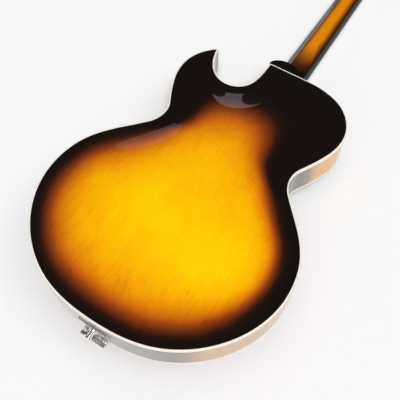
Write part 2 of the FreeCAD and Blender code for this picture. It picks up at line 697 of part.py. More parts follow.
def tube_strip(edge, low, high):
    """The upright band of the hole's width along an arc."""
    half = size.sound_hole_width / 2
    rails = []
    for side in (-1, 1):
        spots = []
        for share in (0, 0.5, 1):
            at = low + (high - low) * share
            along = edge.tangentAt(at)
            spots.append(edge.valueAt(at) + Vector(-along.y, along.x, 0) * (half * side))
        rails.append(spots)
    left, right = rails
    wire = Part.Wire([Part.Arc(*left).toShape(), Part.makeLine(left[-1], right[-1]),
                      Part.Arc(right[-1], right[1], right[0]).toShape(),
                      Part.makeLine(right[0], left[0])])
    return slab(wire, -size.rim_depth / 2, size.rim_depth / 2)


hole_shape = sound_hole()
sound_hole_y = size.body_length + saddle_y + size.sound_hole_lead
bass_hole = moved(hole_shape, Placement(Vector(size.sound_hole_spacing / 2, sound_hole_y, 0),
                                        Rotation()))
treble_hole = bass_hole.mirror(Vector(0, 0, 0), X_AXIS)

# Plates, sides, bindings, linings and blocks

pot_hole = Part.makeCylinder(size.pot_bushing_radius + size.hole_fit, size.rim_depth,
                             Vector(0, 0, -size.rim_depth / 2))
top_cutters = [bass_hole, treble_hole]
top_cutters += [moved(pot_hole, place) for name, place in knob_places]
top_cutters.append(moved(Part.makeCylinder(size.switch_collar_radius + size.hole_fit,
                                           size.rim_depth,
                                           Vector(0, 0, -size.rim_depth / 2)), switch_place))
for y in pickup_y:
    gate = block(-opening_length / 2, opening_length / 2, y - opening_width / 2,
                 y + opening_width / 2, 0, size.rim_depth / 2)
    top_cutters.append(moved(gate, neck_to_body))
top_cutters += [moved(one, neck_to_body) for one in ring_screws]
back_slab = back_surface.toShape().extrude(Vector(0, 0, -full_plate))
back_plate = back_slab.common(slab(binding_line, size.rim_depth - size.plate_thickness,
                                   size.rim_depth + 2 * size.back_arch))
node(feature("back_plate", one_solid(back_plate)), ("body", None))
top_slab = top_surface.toShape().extrude(Vector(0, 0, full_plate))
top_plate = top_slab.common(slab(binding_line, -2 * size.top_arch, size.plate_thickness))
for cutter in top_cutters:
    top_plate = top_plate.cut(cutter)
node(feature("top_plate", one_solid(top_plate)), ("body", None))

binding_band = slab(outline, 0, size.binding_height).cut(
    slab(binding_line, -size.overrun, size.binding_height + size.overrun))
back_band = binding_band.copy()
back_band.translate(Vector(0, 0, size.rim_depth - size.binding_height))
node(feature("back_binding", one_solid(back_band)), ("body", None))
tenon_low = size.plate_thickness + size.plate_bed
tenon = block(-size.tenon_width / 2, size.tenon_width / 2,
              size.body_length - size.tenon_length, size.body_length + size.overrun,
              tenon_low, tenon_low + size.tenon_height)
node(feature("top_binding", one_solid(binding_band.cut(tenon))), ("body", None))

rim = slab(outline, size.binding_height, size.rim_depth - size.binding_height).fuse(
    slab(binding_line, size.plate_thickness, size.rim_depth - size.plate_thickness))
rim = rim.cut(slab(rim_line, 0, size.rim_depth)).cut(tenon)
jack_x, jack_y, jack_turn = bass_points[JACK_POINT]
jack_normal = Vector(-math.sin(math.radians(jack_turn)), -math.cos(math.radians(jack_turn)), 0)
jack_place = Placement(Vector(-jack_x, jack_y, size.rim_depth / 2),
                       Rotation(Z_AXIS.cross(jack_normal), Z_AXIS, jack_normal, "ZYX"))
jack_hole = Part.makeCylinder(size.jack_collar_radius + size.hole_fit,
                              size.jack_body_length, Vector(0, 0, -size.jack_body_length / 2))
rim = rim.cut(moved(jack_hole, jack_place))
hanger_screw_level = size.hanger_rise - size.screw_head_radius * 2
strap_place = Placement(Vector(0, -size.hanger_thickness, size.strap_button_level),
                        Rotation(X_AXIS, 90))
strap_screw = Part.makeCylinder(size.strap_screw_radius, size.strap_screw_length,
                                Vector(0, 0, -size.strap_screw_length))
hanger_screw_x = size.hanger_screw_spacing / 2
hanger_sag = hanger_screw_x ** 2 / size.lower_bout_width
hanger_screws = [screw(Placement(Vector(a * hanger_screw_x, hanger_sag - size.hanger_thickness,
                                        hanger_screw_level), Rotation(X_AXIS, 90)))
                 for a in (-1, 1)]
tail_fastenings = Part.makeCompound(hanger_screws + [moved(strap_screw, strap_place)])
jack_screws = []
for a in (-1, 1):
    for b in (-1, 1):
        offset = size.jack_plate_size / 2 - size.jack_screw_inset
        sag = offset ** 2 / size.lower_bout_width
        spot = Vector(a * offset, b * offset, size.jack_plate_thickness - 2 * sag)
        jack_screws.append(screw(jack_place.multiply(Placement(spot, Rotation()))))
rim = rim.cut(tail_fastenings).cut(Part.makeCompound(jack_screws))
tip_inward = heading(CUTAWAY_SHARES[-1][2]) * -1 + heading(treble_points[0][2])
cutaway_inner = [Vector(x, y, 0) + heading(turn + 90) * size.lining_height
                 for x, y, turn in reversed(cutaway_points[1:-1])]
cutaway_region = Part.makePolygon(
    [horn_tip, horn_tip + tip_inward.normalize() * size.lining_height] + cutaway_inner
    + [neck_corner + Vector(size.lining_height, -size.lining_height, 0), neck_corner, horn_tip])
cutaway_prism = slab(cutaway_region, -size.overrun, size.rim_depth + size.overrun)
bass_prism = block(0, size.lower_bout_width, -size.overrun, size.body_length + size.overrun,
                   -size.overrun, size.rim_depth + size.overrun).fuse(
    block(-size.upper_bout_width, 0, size.body_length - size.neck_block_length,
          size.body_length + size.overrun, -size.overrun, size.rim_depth + size.overrun).common(
        block(-size.cutaway_wall_offset, 0, 0, size.body_length + size.overrun,
              -size.overrun, size.rim_depth + size.overrun)))
cutaway_side = rim.common(cutaway_prism)
other_sides = rim.cut(cutaway_prism)
node(feature("cutaway_side", one_solid(cutaway_side)), ("body", None))
node(feature("bass_side", one_solid(other_sides.common(bass_prism))), ("body", None))
node(feature("treble_side", one_solid(other_sides.cut(bass_prism))), ("body", None))

inner_prism = slab(rim_line, size.plate_thickness, size.rim_depth - size.plate_thickness)
neck_box = block(-size.neck_block_width / 2, size.neck_block_width / 2,
                 size.body_length - size.neck_block_length, size.body_length, 0, size.rim_depth)
neck_block = neck_box.common(inner_prism).cut(tenon)
node(feature("neck_block", one_solid(neck_block)), ("body", None))
tail_box = block(-size.tail_block_width / 2, size.tail_block_width / 2, 0,
                 size.tail_block_length, 0, size.rim_depth)
tail_block = tail_box.common(inner_prism).cut(tail_fastenings)
node(feature("tail_block", one_solid(tail_block)), ("body", None))
linings = []
for low in (size.plate_thickness, size.rim_depth - size.plate_thickness - size.lining_height):
    high = low + size.lining_height
    band = slab(rim_line, low, high).cut(slab(lining_line, 0, size.rim_depth))
    band = band.cut(neck_box).cut(tail_box)
    for one in jack_screws:
        band = band.cut(one)
    linings += band.Solids
group("linings", linings, ("body", None))

inner_face = top_surface.toShape()
inner_face.translate(Vector(0, 0, full_plate))
under_top = inner_face.extrude(Vector(0, 0, body_solid_depth))
bars = []
for side in (-1, 1):
    middle = side * size.tone_bar_spacing / 2
    bar = block(middle - size.tone_bar_width / 2, middle + size.tone_bar_width / 2,
                size.body_length * TONE_BAR_SHARES[0], size.body_length * TONE_BAR_SHARES[1],
                -size.top_arch, size.tone_bar_level).common(under_top)
    for one in ring_screws:
        bar = bar.cut(moved(one, neck_to_body))
    bars.append(one_solid(bar))
group("tone_bars", bars, ("body", None))

# Fingerboard with its binding, frets and markers

def board_prism(inset, y_low, y_high, z_low, z_high):
    """The tapered plan of the fingerboard between two levels."""
    low = board_half_width(y_low) - inset
    high = board_half_width(y_high) - inset
    plan = Part.makePolygon([Vector(-low, y_low, 0), Vector(low, y_low, 0),
                             Vector(high, y_high, 0), Vector(-high, y_high, 0),
                             Vector(-low, y_low, 0)])
    return slab(plan, z_low, z_high)


camber = Part.makeCylinder(size.board_radius, joint_to_nut - board_end_y,
                           Vector(0, board_end_y, size.board_radius), Y_AXIS)
board_blank = board_prism(0, board_end_y, joint_to_nut, 0, size.board_thickness)
board_core = board_prism(size.board_binding, board_end_y + size.board_binding, joint_to_nut, 0,
                         size.board_thickness)
fret_y = [joint_to_nut - size.scale_length * (1 - fret_ratio ** number)
          for number in range(1, FRET_COUNT + 1)]
sweep_angle = 2 * math.degrees(size.joint_width / size.board_radius)
frets = []
for y in fret_y:
    half = size.fret_width / 2
    tang = size.fret_tang_width / 2
    crown = [Part.Arc(Vector(0, y - half, 0), Vector(0, y, -size.fret_height),
                      Vector(0, y + half, 0)).toShape()]
    corners = [Vector(0, y + half, 0), Vector(0, y + tang, 0),
               Vector(0, y + tang, size.fret_tang_depth),
               Vector(0, y - tang, size.fret_tang_depth), Vector(0, y - tang, 0),
               Vector(0, y - half, 0)]
    crown += [Part.makeLine(a, b) for a, b in zip(corners, corners[1:])]
    section = Part.Face(Part.Wire(crown))
    section.rotate(Vector(0, 0, size.board_radius), Y_AXIS, -sweep_angle / 2)
    bar = section.revolve(Vector(0, 0, size.board_radius), Y_AXIS, sweep_angle)
    trim = board_prism(size.board_binding, y - size.fret_width, y + size.fret_width,
                       -size.board_thickness, size.board_thickness)
    frets.append(one_solid(bar.common(trim)))
group("frets", frets, ("neck", None))
marker_spots = [(0, (fret_y[number - 1] + fret_y[number - 2]) / 2) for number in MARKED_FRETS]
octave = (fret_y[OCTAVE_FRET - 1] + fret_y[OCTAVE_FRET - 2]) / 2
marker_spots += [(size.marker_pair_spacing / 2 * side, octave) for side in (-1, 1)]
board_core = board_core.common(camber)
markers = [Part.makeCylinder(size.marker_radius, size.board_thickness, Vector(
    x, y, size.marker_depth - size.board_thickness)).common(board_core)
    for x, y in marker_spots]
group("fret_markers", markers, ("neck", None))
board = board_core.cut(Part.makeCompound(markers)).cut(Part.makeCompound(frets))
node(feature("fingerboard", one_solid(board)), ("neck", None))
board_edge = board_blank.common(camber).cut(
    board_prism(size.board_binding, board_end_y + size.board_binding, joint_to_nut
                + size.overrun, -size.overrun, size.board_thickness + size.overrun))
node(feature("fingerboard_binding", one_solid(board_edge)), ("neck", None))

# Neck: shaft, heel, tenon, tongue under the fingerboard and headstock in one piece

def half_round(y, half_width, depth):
    """Back profile of the neck at y: flat under the fingerboard and half an ellipse."""
    level = size.board_thickness
    if depth > half_width:
        ellipse = Part.Ellipse(Vector(0, y, level + depth), Vector(half_width, y, level),
                               Vector(0, y, level))
    else:
        ellipse = Part.Ellipse(Vector(half_width, y, level), Vector(0, y, level + depth),
                               Vector(0, y, level))
    bow = Part.Arc(ellipse, 0, math.pi).toShape()
    ends = (bow.valueAt(bow.FirstParameter), bow.valueAt(bow.LastParameter))
    return Part.Wire([bow, Part.makeLine(ends[1], ends[0])])


head_reach = size.head_thickness / math.sin(math.radians(size.head_pitch)) / 2
shaft = Part.makeLoft([
    half_round(0, board_half_width(0), size.neck_depth_at_heel),
    half_round(joint_to_nut, size.nut_width / 2, size.neck_depth_at_nut),
    half_round(joint_to_nut + head_reach, board_half_width(joint_to_nut + head_reach),
               size.neck_depth_at_nut)], True, True)


def heel_section(share, depth_share):
    """Half an ellipse standing out from the rim at a level of the heel."""
    low = size.board_thickness - size.board_rise
    level = low + (size.rim_depth - low) * share
    across = (size.joint_width + (size.heel_width - size.joint_width) * share) / 2
    depth = size.heel_cap_depth + (size.heel_root_depth - size.heel_cap_depth) * depth_share
    middle = Vector(0, size.body_length, level)
    if depth > across:
        ellipse = Part.Ellipse(middle + Y_AXIS * depth, middle - X_AXIS * across, middle)
        bow = Part.Arc(ellipse, -math.pi / 2, math.pi / 2).toShape()
    else:
        ellipse = Part.Ellipse(middle + X_AXIS * across, middle + Y_AXIS * depth, middle)
        bow = Part.Arc(ellipse, 0, math.pi).toShape()
    ends = (bow.valueAt(bow.FirstParameter), bow.valueAt(bow.LastParameter))
    return Part.Wire([bow, Part.makeLine(ends[1], ends[0])])


heel = Part.makeLoft([heel_section(*shares) for shares in HEEL_SHARES], True, False)
heel = moved(heel.fuse(tenon), body_to_neck)
tongue = board_prism(0, -size.tongue_length, size.overrun, size.board_thickness,
                     size.board_thickness + size.tongue_thickness)


def head_wire(inset):
    """Outline of the headstock in the head frame."""
    ends = size.head_neck_width / 2 - inset
    right = [Vector(ends, 0, 0)]
    right += [Vector(size.head_width * a - inset * (a > 0), size.head_length * b - inset, 0)
              for a, b in HEAD_SHARES]
    left = [Vector(-p.x, p.y, 0) for p in reversed(right[:-1])]
    flank = heading(90)
    rise = biarc(right[0], flank, right[1], flank)
    side = [Part.makeLine(right[1], right[2])]
    crown = [Part.makeLine(right[2], right[3])]
    top = Part.Arc(right[3], right[4], left[0]).toShape()
    mirrored = [Part.makeLine(left[0], left[1]), Part.makeLine(left[1], left[2])]
    fall = biarc(left[2], flank * -1, left[3], flank * -1)
    foot = Part.makeLine(left[3], right[0])
    return Part.Wire(Part.__sortEdges__(rise + side + crown + [top] + mirrored + fall + [foot]))


head = slab(head_wire(0), 0, size.head_thickness)
body_prism = moved(slab(outline, 0, size.rim_depth), body_to_neck)
neck_shape = shaft.cut(body_prism).fuse(heel).fuse(tongue).fuse(moved(head, head_to_neck))
over_board = block(-size.head_width, size.head_width, board_end_y, joint_to_nut
                   + size.nut_thickness, -size.rim_depth, size.board_thickness)
neck_shape = neck_shape.cut(over_board)
front = block(-size.head_width, size.head_width, 0, size.head_length + size.overrun,
              -size.head_length, 0)
neck_shape = neck_shape.cut(moved(front, head_to_neck))
channel = block(-size.truss_channel_width / 2, size.truss_channel_width / 2,
                joint_to_nut - size.truss_rod_length, joint_to_nut + size.nut_thickness
                + size.truss_pocket_length, size.board_thickness,
                size.board_thickness + size.truss_channel_depth)
pocket = block(-size.truss_pocket_width / 2, size.truss_pocket_width / 2, size.truss_cover_setback,
               size.truss_cover_setback + size.truss_pocket_length, -size.head_thickness,
               size.truss_channel_width)
neck_shape = neck_shape.cut(channel).cut(moved(pocket, head_to_neck))
rod_level = size.board_thickness + size.truss_channel_depth / 2
rod_start = Vector(0, joint_to_nut - size.truss_rod_length + size.overrun, rod_level)
truss_rod = primitive("Cylinder", "truss_rod_bar", Placement(rod_start, Rotation(X_AXIS, -90)),
                      Radius="sizes.truss_rod_radius", Height="sizes.truss_rod_length")
truss_nut = primitive("Prism", "truss_rod_nut",
                      Placement(rod_start + Vector(0, size.truss_rod_length, 0),
                                Rotation(X_AXIS, -90)),
                      Circumradius="sizes.truss_rod_radius + sizes.fret_height / 2",
                      Height="sizes.truss_nut_length / 2")
rod_pair = doc.addObject("Part::Compound", "truss_rod")
rod_pair.Links = [truss_rod, truss_nut]
node(rod_pair, ("neck", None))

# Tuners

tuner_spots = []
for side in (1, -1):
    for number in range(STRINGS // 2):
        tuner_spots.append((side, size.tuner_first + size.tuner_spacing * number))
# strings count from the treble side, posts from the nut outwards
post_of_string = {6: 0, 5: 1, 4: 2, 1: 3, 2: 4, 3: 5}
face = -size.headplate_thickness
gear_level = size.head_thickness + size.gear_lift
worm_level = gear_level + size.gear_thickness / 2
worm_shift = size.gear_radius + size.worm_radius + size.worm_gap
post_high = face - size.bushing_flange - size.post_rise
housing_low = -size.housing_width / 2 + worm_shift / 2
screw_spots = [Vector(side * (size.tuner_offset - size.gear_radius), y + housing_low
                      + (size.housing_width + size.housing_tab) * end - size.housing_tab / 2,
                      size.head_thickness + size.housing_tab_thickness)
               for side, y in tuner_spots for end in (0, 1)]
tuner_screws = [screw(Placement(spot, Rotation())) for spot in screw_spots]
cover_screw_y = (size.truss_cover_setback + size.cover_screw_inset,
                 size.truss_cover_setback + size.truss_cover_length - size.cover_screw_inset)
cover_screws = [screw(Placement(Vector(0, y, face - size.truss_cover_thickness), turn_over))
                for y in cover_screw_y[1:]]
cover_half = size.truss_cover_width / 2 - size.cover_screw_inset
cover_screws += [screw(Placement(Vector(side * cover_half, cover_screw_y[0], face
                                        - size.truss_cover_thickness), turn_over))
                 for side in (-1, 1)]
bores = [Part.makeCylinder(size.bushing_radius, size.head_length, Vector(
    side * size.tuner_offset, y, -size.head_length / 2)) for side, y in tuner_spots]
neck_shape = neck_shape.cut(moved(Part.makeCompound(bores), head_to_neck))
for one in tuner_screws + cover_screws:
    neck_shape = neck_shape.cut(moved(one, head_to_neck))
node(feature("neck", one_solid(neck_shape)), ("neck", None))
headplate = slab(head_wire(0), face, 0)
for one in bores + cover_screws + [pocket]:
    headplate = headplate.cut(one)
node(feature("headplate", one_solid(headplate)), ("head", None))
cover_tail = size.truss_cover_setback + size.truss_cover_length
cover_points = ((-size.truss_cover_width / 2, size.truss_cover_setback),
                (size.truss_cover_width / 2, size.truss_cover_setback),
                (size.truss_cover_width / 2, size.truss_cover_setback
                 + size.truss_cover_length / 2),
                (size.cover_screw_inset, cover_tail), (-size.cover_screw_inset, cover_tail),
                (-size.truss_cover_width / 2, size.truss_cover_setback
                 + size.truss_cover_length / 2))
cover_pad = padded("truss_cover_plate", "XY_Plane", polygon(cover_points),
                   "sizes.truss_cover_thickness")
cover_pad.Placement = Placement(Vector(0, 0, face - size.truss_cover_thickness), Rotation())
cover_tools = feature("cover_screw_holes", Part.makeCompound(cover_screws))
truss_cover = boolean("Cut", "truss_rod_cover", cover_pad, cover_tools)
node(truss_cover, ("head", None))

bush_bore = size.post_radius + size.running_fit
bushing_turned = turned("tuner_bushing", (
    (bush_bore, face + size.bushing_depth), (size.bushing_radius, face + size.bushing_depth),
    (size.bushing_radius, face), (size.bushing_flange_radius, face),
    (size.bushing_flange_radius, face - size.bushing_flange),
    (bush_bore, face - size.bushing_flange)))
bushing_shape = shape_of(bushing_turned)
group("tuner_bushings", [moved(bushing_shape, Placement(
    Vector(side * size.tuner_offset, y, 0), Rotation())) for side, y in tuner_spots],
    ("head", None))
post_low = gear_level + size.gear_thickness
housing_shapes = []
key_frames = []
for number, (side, y) in enumerate(tuner_spots, 1):
    at = Vector(side * size.tuner_offset, y, 0)
    stem = primitive("Cylinder", "post_stem_%d" % number,
                     Placement(at + Vector(0, 0, post_high), Rotation()),
                     Radius="sizes.post_radius",
                     Height="sizes.post_rise + sizes.bushing_flange + sizes.headplate_thickness"
                            " + sizes.head_thickness + sizes.gear_lift + sizes.gear_thickness")
    gear = primitive("Cylinder", "post_gear_%d" % number,
                     Placement(at + Vector(0, 0, gear_level), Rotation()),
                     Radius="sizes.gear_radius", Height="sizes.gear_thickness")
    post = boolean("Fuse", "tuner_post_%d" % number, stem, gear)
    node(post, ("head", None))
    outward = Rotation(Y_AXIS, 90 * side)
    axis = at + Vector(0, worm_shift, worm_level)
    worm_start = axis - X_AXIS * (side * size.worm_length / 2)
    worm = primitive("Cylinder", "worm_%d" % number, Placement(worm_start, outward),
                     Radius="sizes.worm_radius", Height="sizes.worm_length")
    arm = primitive("Cylinder", "key_shaft_%d" % number, Placement(axis, outward),
                    Radius="sizes.key_shaft_radius", Height="sizes.key_reach")
    collar_start = axis + X_AXIS * (side * (size.key_reach - size.key_collar_length))
    neckpiece = primitive("Cylinder", "key_collar_%d" % number,
                          Placement(collar_start, outward),
                          Radius="sizes.key_collar_radius", Height="sizes.key_collar_length")
    button_at = axis + X_AXIS * (side * (size.key_reach + size.button_radius
                                         - size.key_collar_length / 2))
    disc = primitive("Cylinder", "key_disc_%d" % number,
                     Placement(button_at - Z_AXIS * (size.button_thickness / 2), Rotation()),
                     Radius="sizes.button_radius", Height="sizes.button_thickness")
    button = rounded("key_button_%d" % number, disc, "button_fillet", is_circle)
    key = doc.addObject("Part::MultiFuse", "tuner_key_%d" % number)
    key.Shapes = [worm, arm, neckpiece, button]
    node(key, ("head", None))
    key_frames.append((axis, at))
    x_in = size.tuner_offset - size.gear_radius - size.housing_wall - size.worm_gap
    x_out = x_in + size.housing_length
    y_in = y + housing_low
    y_out = y_in + size.housing_width
    z_in = size.head_thickness
    z_out = z_in + size.housing_height
    shell = block(x_in, x_out, y_in, y_out, z_in, z_out)
    shell = shell.makeFillet(size.housing_fillet,
                             [edge for edge in shell.Edges if edge.BoundBox.ZMin > z_in])
    room = block(x_in + size.housing_wall, x_out - size.housing_wall,
                 y_in + size.housing_wall, y_out - size.housing_wall, z_in - size.overrun,
                 z_out - size.housing_wall)
    tabs = block(x_in + size.housing_fillet, x_in + 2 * size.gear_radius, y_in
                 - size.housing_tab, y_out + size.housing_tab, z_in,
                 z_in + size.housing_tab_thickness)
    shell = shell.fuse(tabs).cut(room)
    shell = shell.cut(Part.makeCylinder(size.key_shaft_radius + size.running_fit,
                                        size.housing_length * 2,
                                        Vector(size.tuner_offset, axis.y, worm_level), X_AXIS))
    if side < 0:
        shell = shell.mirror(Vector(0, 0, 0), X_AXIS)
    for one in tuner_screws[2 * number - 2:2 * number]:
        shell = shell.cut(one)
    housing_shapes.append(one_solid(shell))
group("tuner_housings", housing_shapes, ("head", None))

# Strings: from the tailpiece over saddle and nut to a winding on each post

diameters = [size.string_1_diameter, size.string_2_diameter, size.string_3_diameter,
             size.string_4_diameter, size.string_5_diameter, size.string_6_diameter]
bar_centre = Vector(0, saddle_y - size.trapeze_reach, size.trapeze_level)


def bowed(x, height):
    """Level of a string at x on the camber, that far out from the fingerboard's face."""
    return size.board_radius - math.sqrt(size.board_radius ** 2 - x * x) - height


string_shapes = []
string_clearers = []
saddle_slots = []
winding_report = []
for number, diameter in enumerate(diameters, 1):
    share = (number - 1) / (STRINGS - 1) - 0.5
    saddle_x = size.saddle_string_spread * share
    nut_x = size.nut_string_spread * share
    saddle_spot = Vector(saddle_x, saddle_y, bowed(saddle_x, size.saddle_string_height))
    nut_spot = Vector(nut_x, joint_to_nut + size.nut_thickness / 2,
                      bowed(nut_x, size.nut_string_height))
    bar_spot = Vector(saddle_x, bar_centre.y, bar_centre.z)
    pull = (saddle_spot - bar_spot).normalize()
    start = bar_spot - pull * (size.trapeze_bar_radius + size.hole_fit)
    side, y = tuner_spots[post_of_string[number]]
    post_at = Vector(side * size.tuner_offset, y, 0)
    coil_radius = size.post_radius + size.winding_clearance + diameter / 2
    pitch = diameter + size.winding_gap
    coil_low = face - size.bushing_flange - size.winding_clearance - diameter / 2
    coil_high = coil_low - pitch * WINDING_TURNS
    seen = neck_to_head.multVec(nut_spot)
    gap = Vector(post_at.x - seen.x, post_at.y - seen.y, 0)
    bearing = math.atan2(gap.y, gap.x) + side * math.asin(coil_radius / gap.Length)
    run = math.sqrt(gap.Length ** 2 - coil_radius ** 2)
    touch = Vector(seen.x + run * math.cos(bearing), seen.y + run * math.sin(bearing), coil_high)
    points = [start, saddle_spot, nut_spot, head_to_neck.multVec(touch)]
    path = rounded_path(points, size.string_bend)
    string_shapes.append(tube(path, diameter / 2))
    string_clearers.append(tube(path, diameter / 2 + size.string_clearance))
    slot_half = diameter / 2 + size.string_clearance
    slot_line = [saddle_spot + way * (size.saddle_width / abs(way.y)) for way in
                 (start - saddle_spot, nut_spot - saddle_spot)]
    slot_half += abs(slot_line[1].x - saddle_x)
    slot_line.insert(1, saddle_spot)
    slot_top = saddle_spot.z - size.saddle_height
    slot_floor = Vector(0, 0, diameter / 2 + size.string_clearance)
    slot_points = [Vector(saddle_x - slot_half, spot.y, spot.z) + slot_floor
                   for spot in slot_line]
    slot_points += [Vector(saddle_x - slot_half, spot.y, slot_top)
                    for spot in (slot_line[2], slot_line[0])]
    slot_face = Part.Face(Part.makePolygon(slot_points + slot_points[:1]))
    saddle_slots.append(slot_face.extrude(X_AXIS * (2 * slot_half)))
    string_shapes.append(rod(start, start - pull * size.ball_end_length, size.ball_end_radius))
    first_angle = math.atan2(touch.y - post_at.y, touch.x - post_at.x)
    turns = []
    spots = []
    for quarter in range(4 * WINDING_TURNS + 1):
        angle = first_angle - side * quarter * math.pi / 2
        spots.append(Vector(post_at.x + coil_radius * math.cos(angle),
                            post_at.y + coil_radius * math.sin(angle),
                            coil_high + pitch * quarter / 4))
        lead = Vector(side * math.sin(angle), -side * math.cos(angle),
                      pitch / (2 * math.pi * coil_radius)).normalize()
        turns.append(lead)
    coil = []
    for a, b, c, d in zip(spots, turns, spots[1:], turns[1:]):
        coil += biarc(a, b, c, d)
    coil_wire = Part.Wire(Part.__sortEdges__(coil))
    samples = coil_wire.discretize(Number=SAMPLES_PER_TURN * WINDING_TURNS)
    apart = min((p - q).Length for i, p in enumerate(samples)
                for q in samples[i + SAMPLES_PER_TURN // 2:])
    winding_report.append(apart - diameter)
    ring = Part.makeCircle(diameter / 2, spots[0], turns[0])
    winding = coil_wire.makePipeShell([Part.Wire(ring)], True, False)
    string_shapes.append(moved(winding, head_to_neck))
print("least gap in a winding, mm:", round(min(winding_report), 3))
group("strings", string_shapes, ("neck", None))
clear_strings = Part.makeCompound(string_clearers)

# Nut

nut_low = size.board_thickness
nut_top = nut_low - size.nut_height
nut_points = ((-size.nut_width / 2, nut_low), (size.nut_width / 2, nut_low),
              (size.nut_width / 2, nut_top + size.nut_string_height),
              (size.nut_width / 4, nut_top), (-size.nut_width / 4, nut_top),
              (-size.nut_width / 2, nut_top + size.nut_string_height))
nut_blank = padded("nut_blank", "XZ_Plane", polygon(nut_points), "sizes.nut_thickness")
nut_blank.Placement = Placement(Vector(0, joint_to_nut + size.nut_thickness, 0), Rotation())
nut_tools = feature("string_grooves", clear_strings)
nut = boolean("Cut", "nut", nut_blank, nut_tools)
node(nut, ("neck", None))

# Bridge

saddle_foot = size.saddle_height - size.saddle_string_height
crest = size.saddle_crest_length / 2
reach = size.saddle_length / 2
crest_level = bowed(crest, size.saddle_string_height)
shoulder_level = saddle_foot - size.saddle_shoulder
saddle_edges = [Part.LineSegment(Vector(-reach, saddle_foot, 0), Vector(reach, saddle_foot, 0)),
                Part.LineSegment(Vector(reach, saddle_foot, 0), Vector(reach, shoulder_level, 0)),
                Part.LineSegment(Vector(reach, shoulder_level, 0),
                                 Vector(crest, crest_level, 0)),
                Part.Arc(Vector(crest, crest_level, 0),
                         Vector(0, -size.saddle_string_height, 0),
                         Vector(-crest, crest_level, 0)),
                Part.LineSegment(Vector(-crest, crest_level, 0),
                                 Vector(-reach, shoulder_level, 0)),
                Part.LineSegment(Vector(-reach, shoulder_level, 0),
                                 Vector(-reach, saddle_foot, 0))]
saddle_blank = padded("saddle_blank", "XZ_Plane", saddle_edges, "sizes.saddle_width", True)
saddle_blank.Placement = Placement(Vector(0, saddle_y, 0), Rotation())
wheel_level = saddle_foot
base_level = wheel_level + size.wheel_thickness + size.wheel_gap
post_spots = [Vector(side * size.bridge_post_spacing / 2, saddle_y,
                     base_level + size.bridge_base_fillet + size.running_fit)
              for side in (1, -1)]
post_objects = []
for side, spot in zip(("bass", "treble"), post_spots):
    post_objects.append(primitive("Cylinder", "bridge_post_" + side,
                                  Placement(spot, Rotation(X_AXIS, 180)),
                                  Radius="sizes.bridge_post_radius",
                                  Height="sizes.bridge_post_length"))
posts = doc.addObject("Part::Compound", "bridge_posts")
posts.Links = post_objects
node(posts, ("neck", None))
post_holes = Part.makeCompound([Part.makeCylinder(
    size.bridge_post_radius + size.running_fit, size.bridge_post_length + size.wheel_gap,
    spot, Z_AXIS * -1) for spot in post_spots])
saddle = boolean("Cut", "bridge_saddle", saddle_blank, feature(
    "saddle_openings", Part.makeCompound([post_holes] + saddle_slots)))
node(saddle, ("neck", None))
for side, spot in zip(("bass", "treble"), post_spots):
    at = Vector(spot.x, spot.y, wheel_level)
    disc = primitive("Cylinder", "wheel_disc_" + side, Placement(at, Rotation()),
                     Radius="sizes.wheel_radius", Height="sizes.wheel_thickness")
    notch = Part.makeCylinder(size.wheel_notch_radius, size.wheel_thickness + 2 * size.overrun,
                              at + Vector(size.wheel_radius, 0, -size.overrun))
    notches = []
    for step in range(WHEEL_NOTCHES):
        one = notch.copy()
        one.rotate(at, Z_AXIS, 360 * step / WHEEL_NOTCHES)
        notches.append(one)
    notches.append(Part.makeCylinder(size.bridge_post_radius + size.running_fit,
                                     size.wheel_thickness + 2 * size.overrun,
                                     at - Vector(0, 0, size.overrun)))
    tool = feature("wheel_notches_" + side, Part.makeCompound(notches))
    node(boolean("Cut", "bridge_wheel_" + side, disc, tool), ("neck", None))
base = block(-size.bridge_base_length / 2, size.bridge_base_length / 2,
             saddle_y - size.bridge_base_width / 2, saddle_y + size.bridge_base_width / 2,
             base_level, base_level + size.rim_depth / 2)
base = base.makeFillet(size.bridge_base_fillet, [edge for edge in base.Edges if along_z(edge)])
base = base.cut(inside_top_neck)
for spot in post_spots:
    base = base.cut(Part.makeCylinder(size.bridge_post_radius, size.bridge_post_length, spot,
                                      Z_AXIS * -1))
node(feature("bridge_base", one_solid(base)), ("neck", None))

# Tailpiece: hanger on the tail, hinge pin and trapeze, with the strap button

hanger_line = outline.makeOffset2D(size.hanger_thickness)
hanger_band = slab(hanger_line, -size.hinge_drop, size.hanger_rise).cut(
    slab(outline, -size.hanger_rise, 2 * size.hanger_rise))
hanger_window = block(-size.hanger_width / 2, size.hanger_width / 2,
                      -size.hanger_width, size.tail_block_length, -size.hanger_rise,
                      size.hanger_rise)
hanger = hanger_band.common(hanger_window)
for side in (-1, 1):
    inner, outer = sorted((side * size.hinge_length / 2, side * size.hanger_width))
    hanger = hanger.cut(block(inner, outer, -size.hanger_width, size.tail_block_length,
                              -size.hanger_rise, 0))
hinge_at = Vector(0, -size.hinge_reach, -size.hinge_drop)
knuckle = Part.makeCylinder(size.hinge_radius, size.hinge_length,
                            hinge_at - X_AXIS * (size.hinge_length / 2), X_AXIS)
web = block(-size.hinge_length / 2, size.hinge_length / 2, hinge_at.y, -size.hanger_thickness / 2,
            hinge_at.z, hinge_at.z + size.hanger_thickness)
pin_length = size.hinge_length + 2 * (size.eye_length + size.eye_gap) + 2 * size.overrun
pin_start = hinge_at - X_AXIS * (pin_length / 2)
pin_hole = Part.makeCylinder(size.pin_radius + size.running_fit, 2 * pin_length,
                             hinge_at - X_AXIS * pin_length, X_AXIS)
hanger = hanger.fuse(knuckle).fuse(web).cut(pin_hole)
hanger = hanger.cut(tail_fastenings)
node(feature("tailpiece_hanger", one_solid(hanger)), ("body", None))
pin = primitive("Cylinder", "tailpiece_pin", Placement(pin_start, Rotation(Y_AXIS, 90)),
                Radius="sizes.pin_radius")
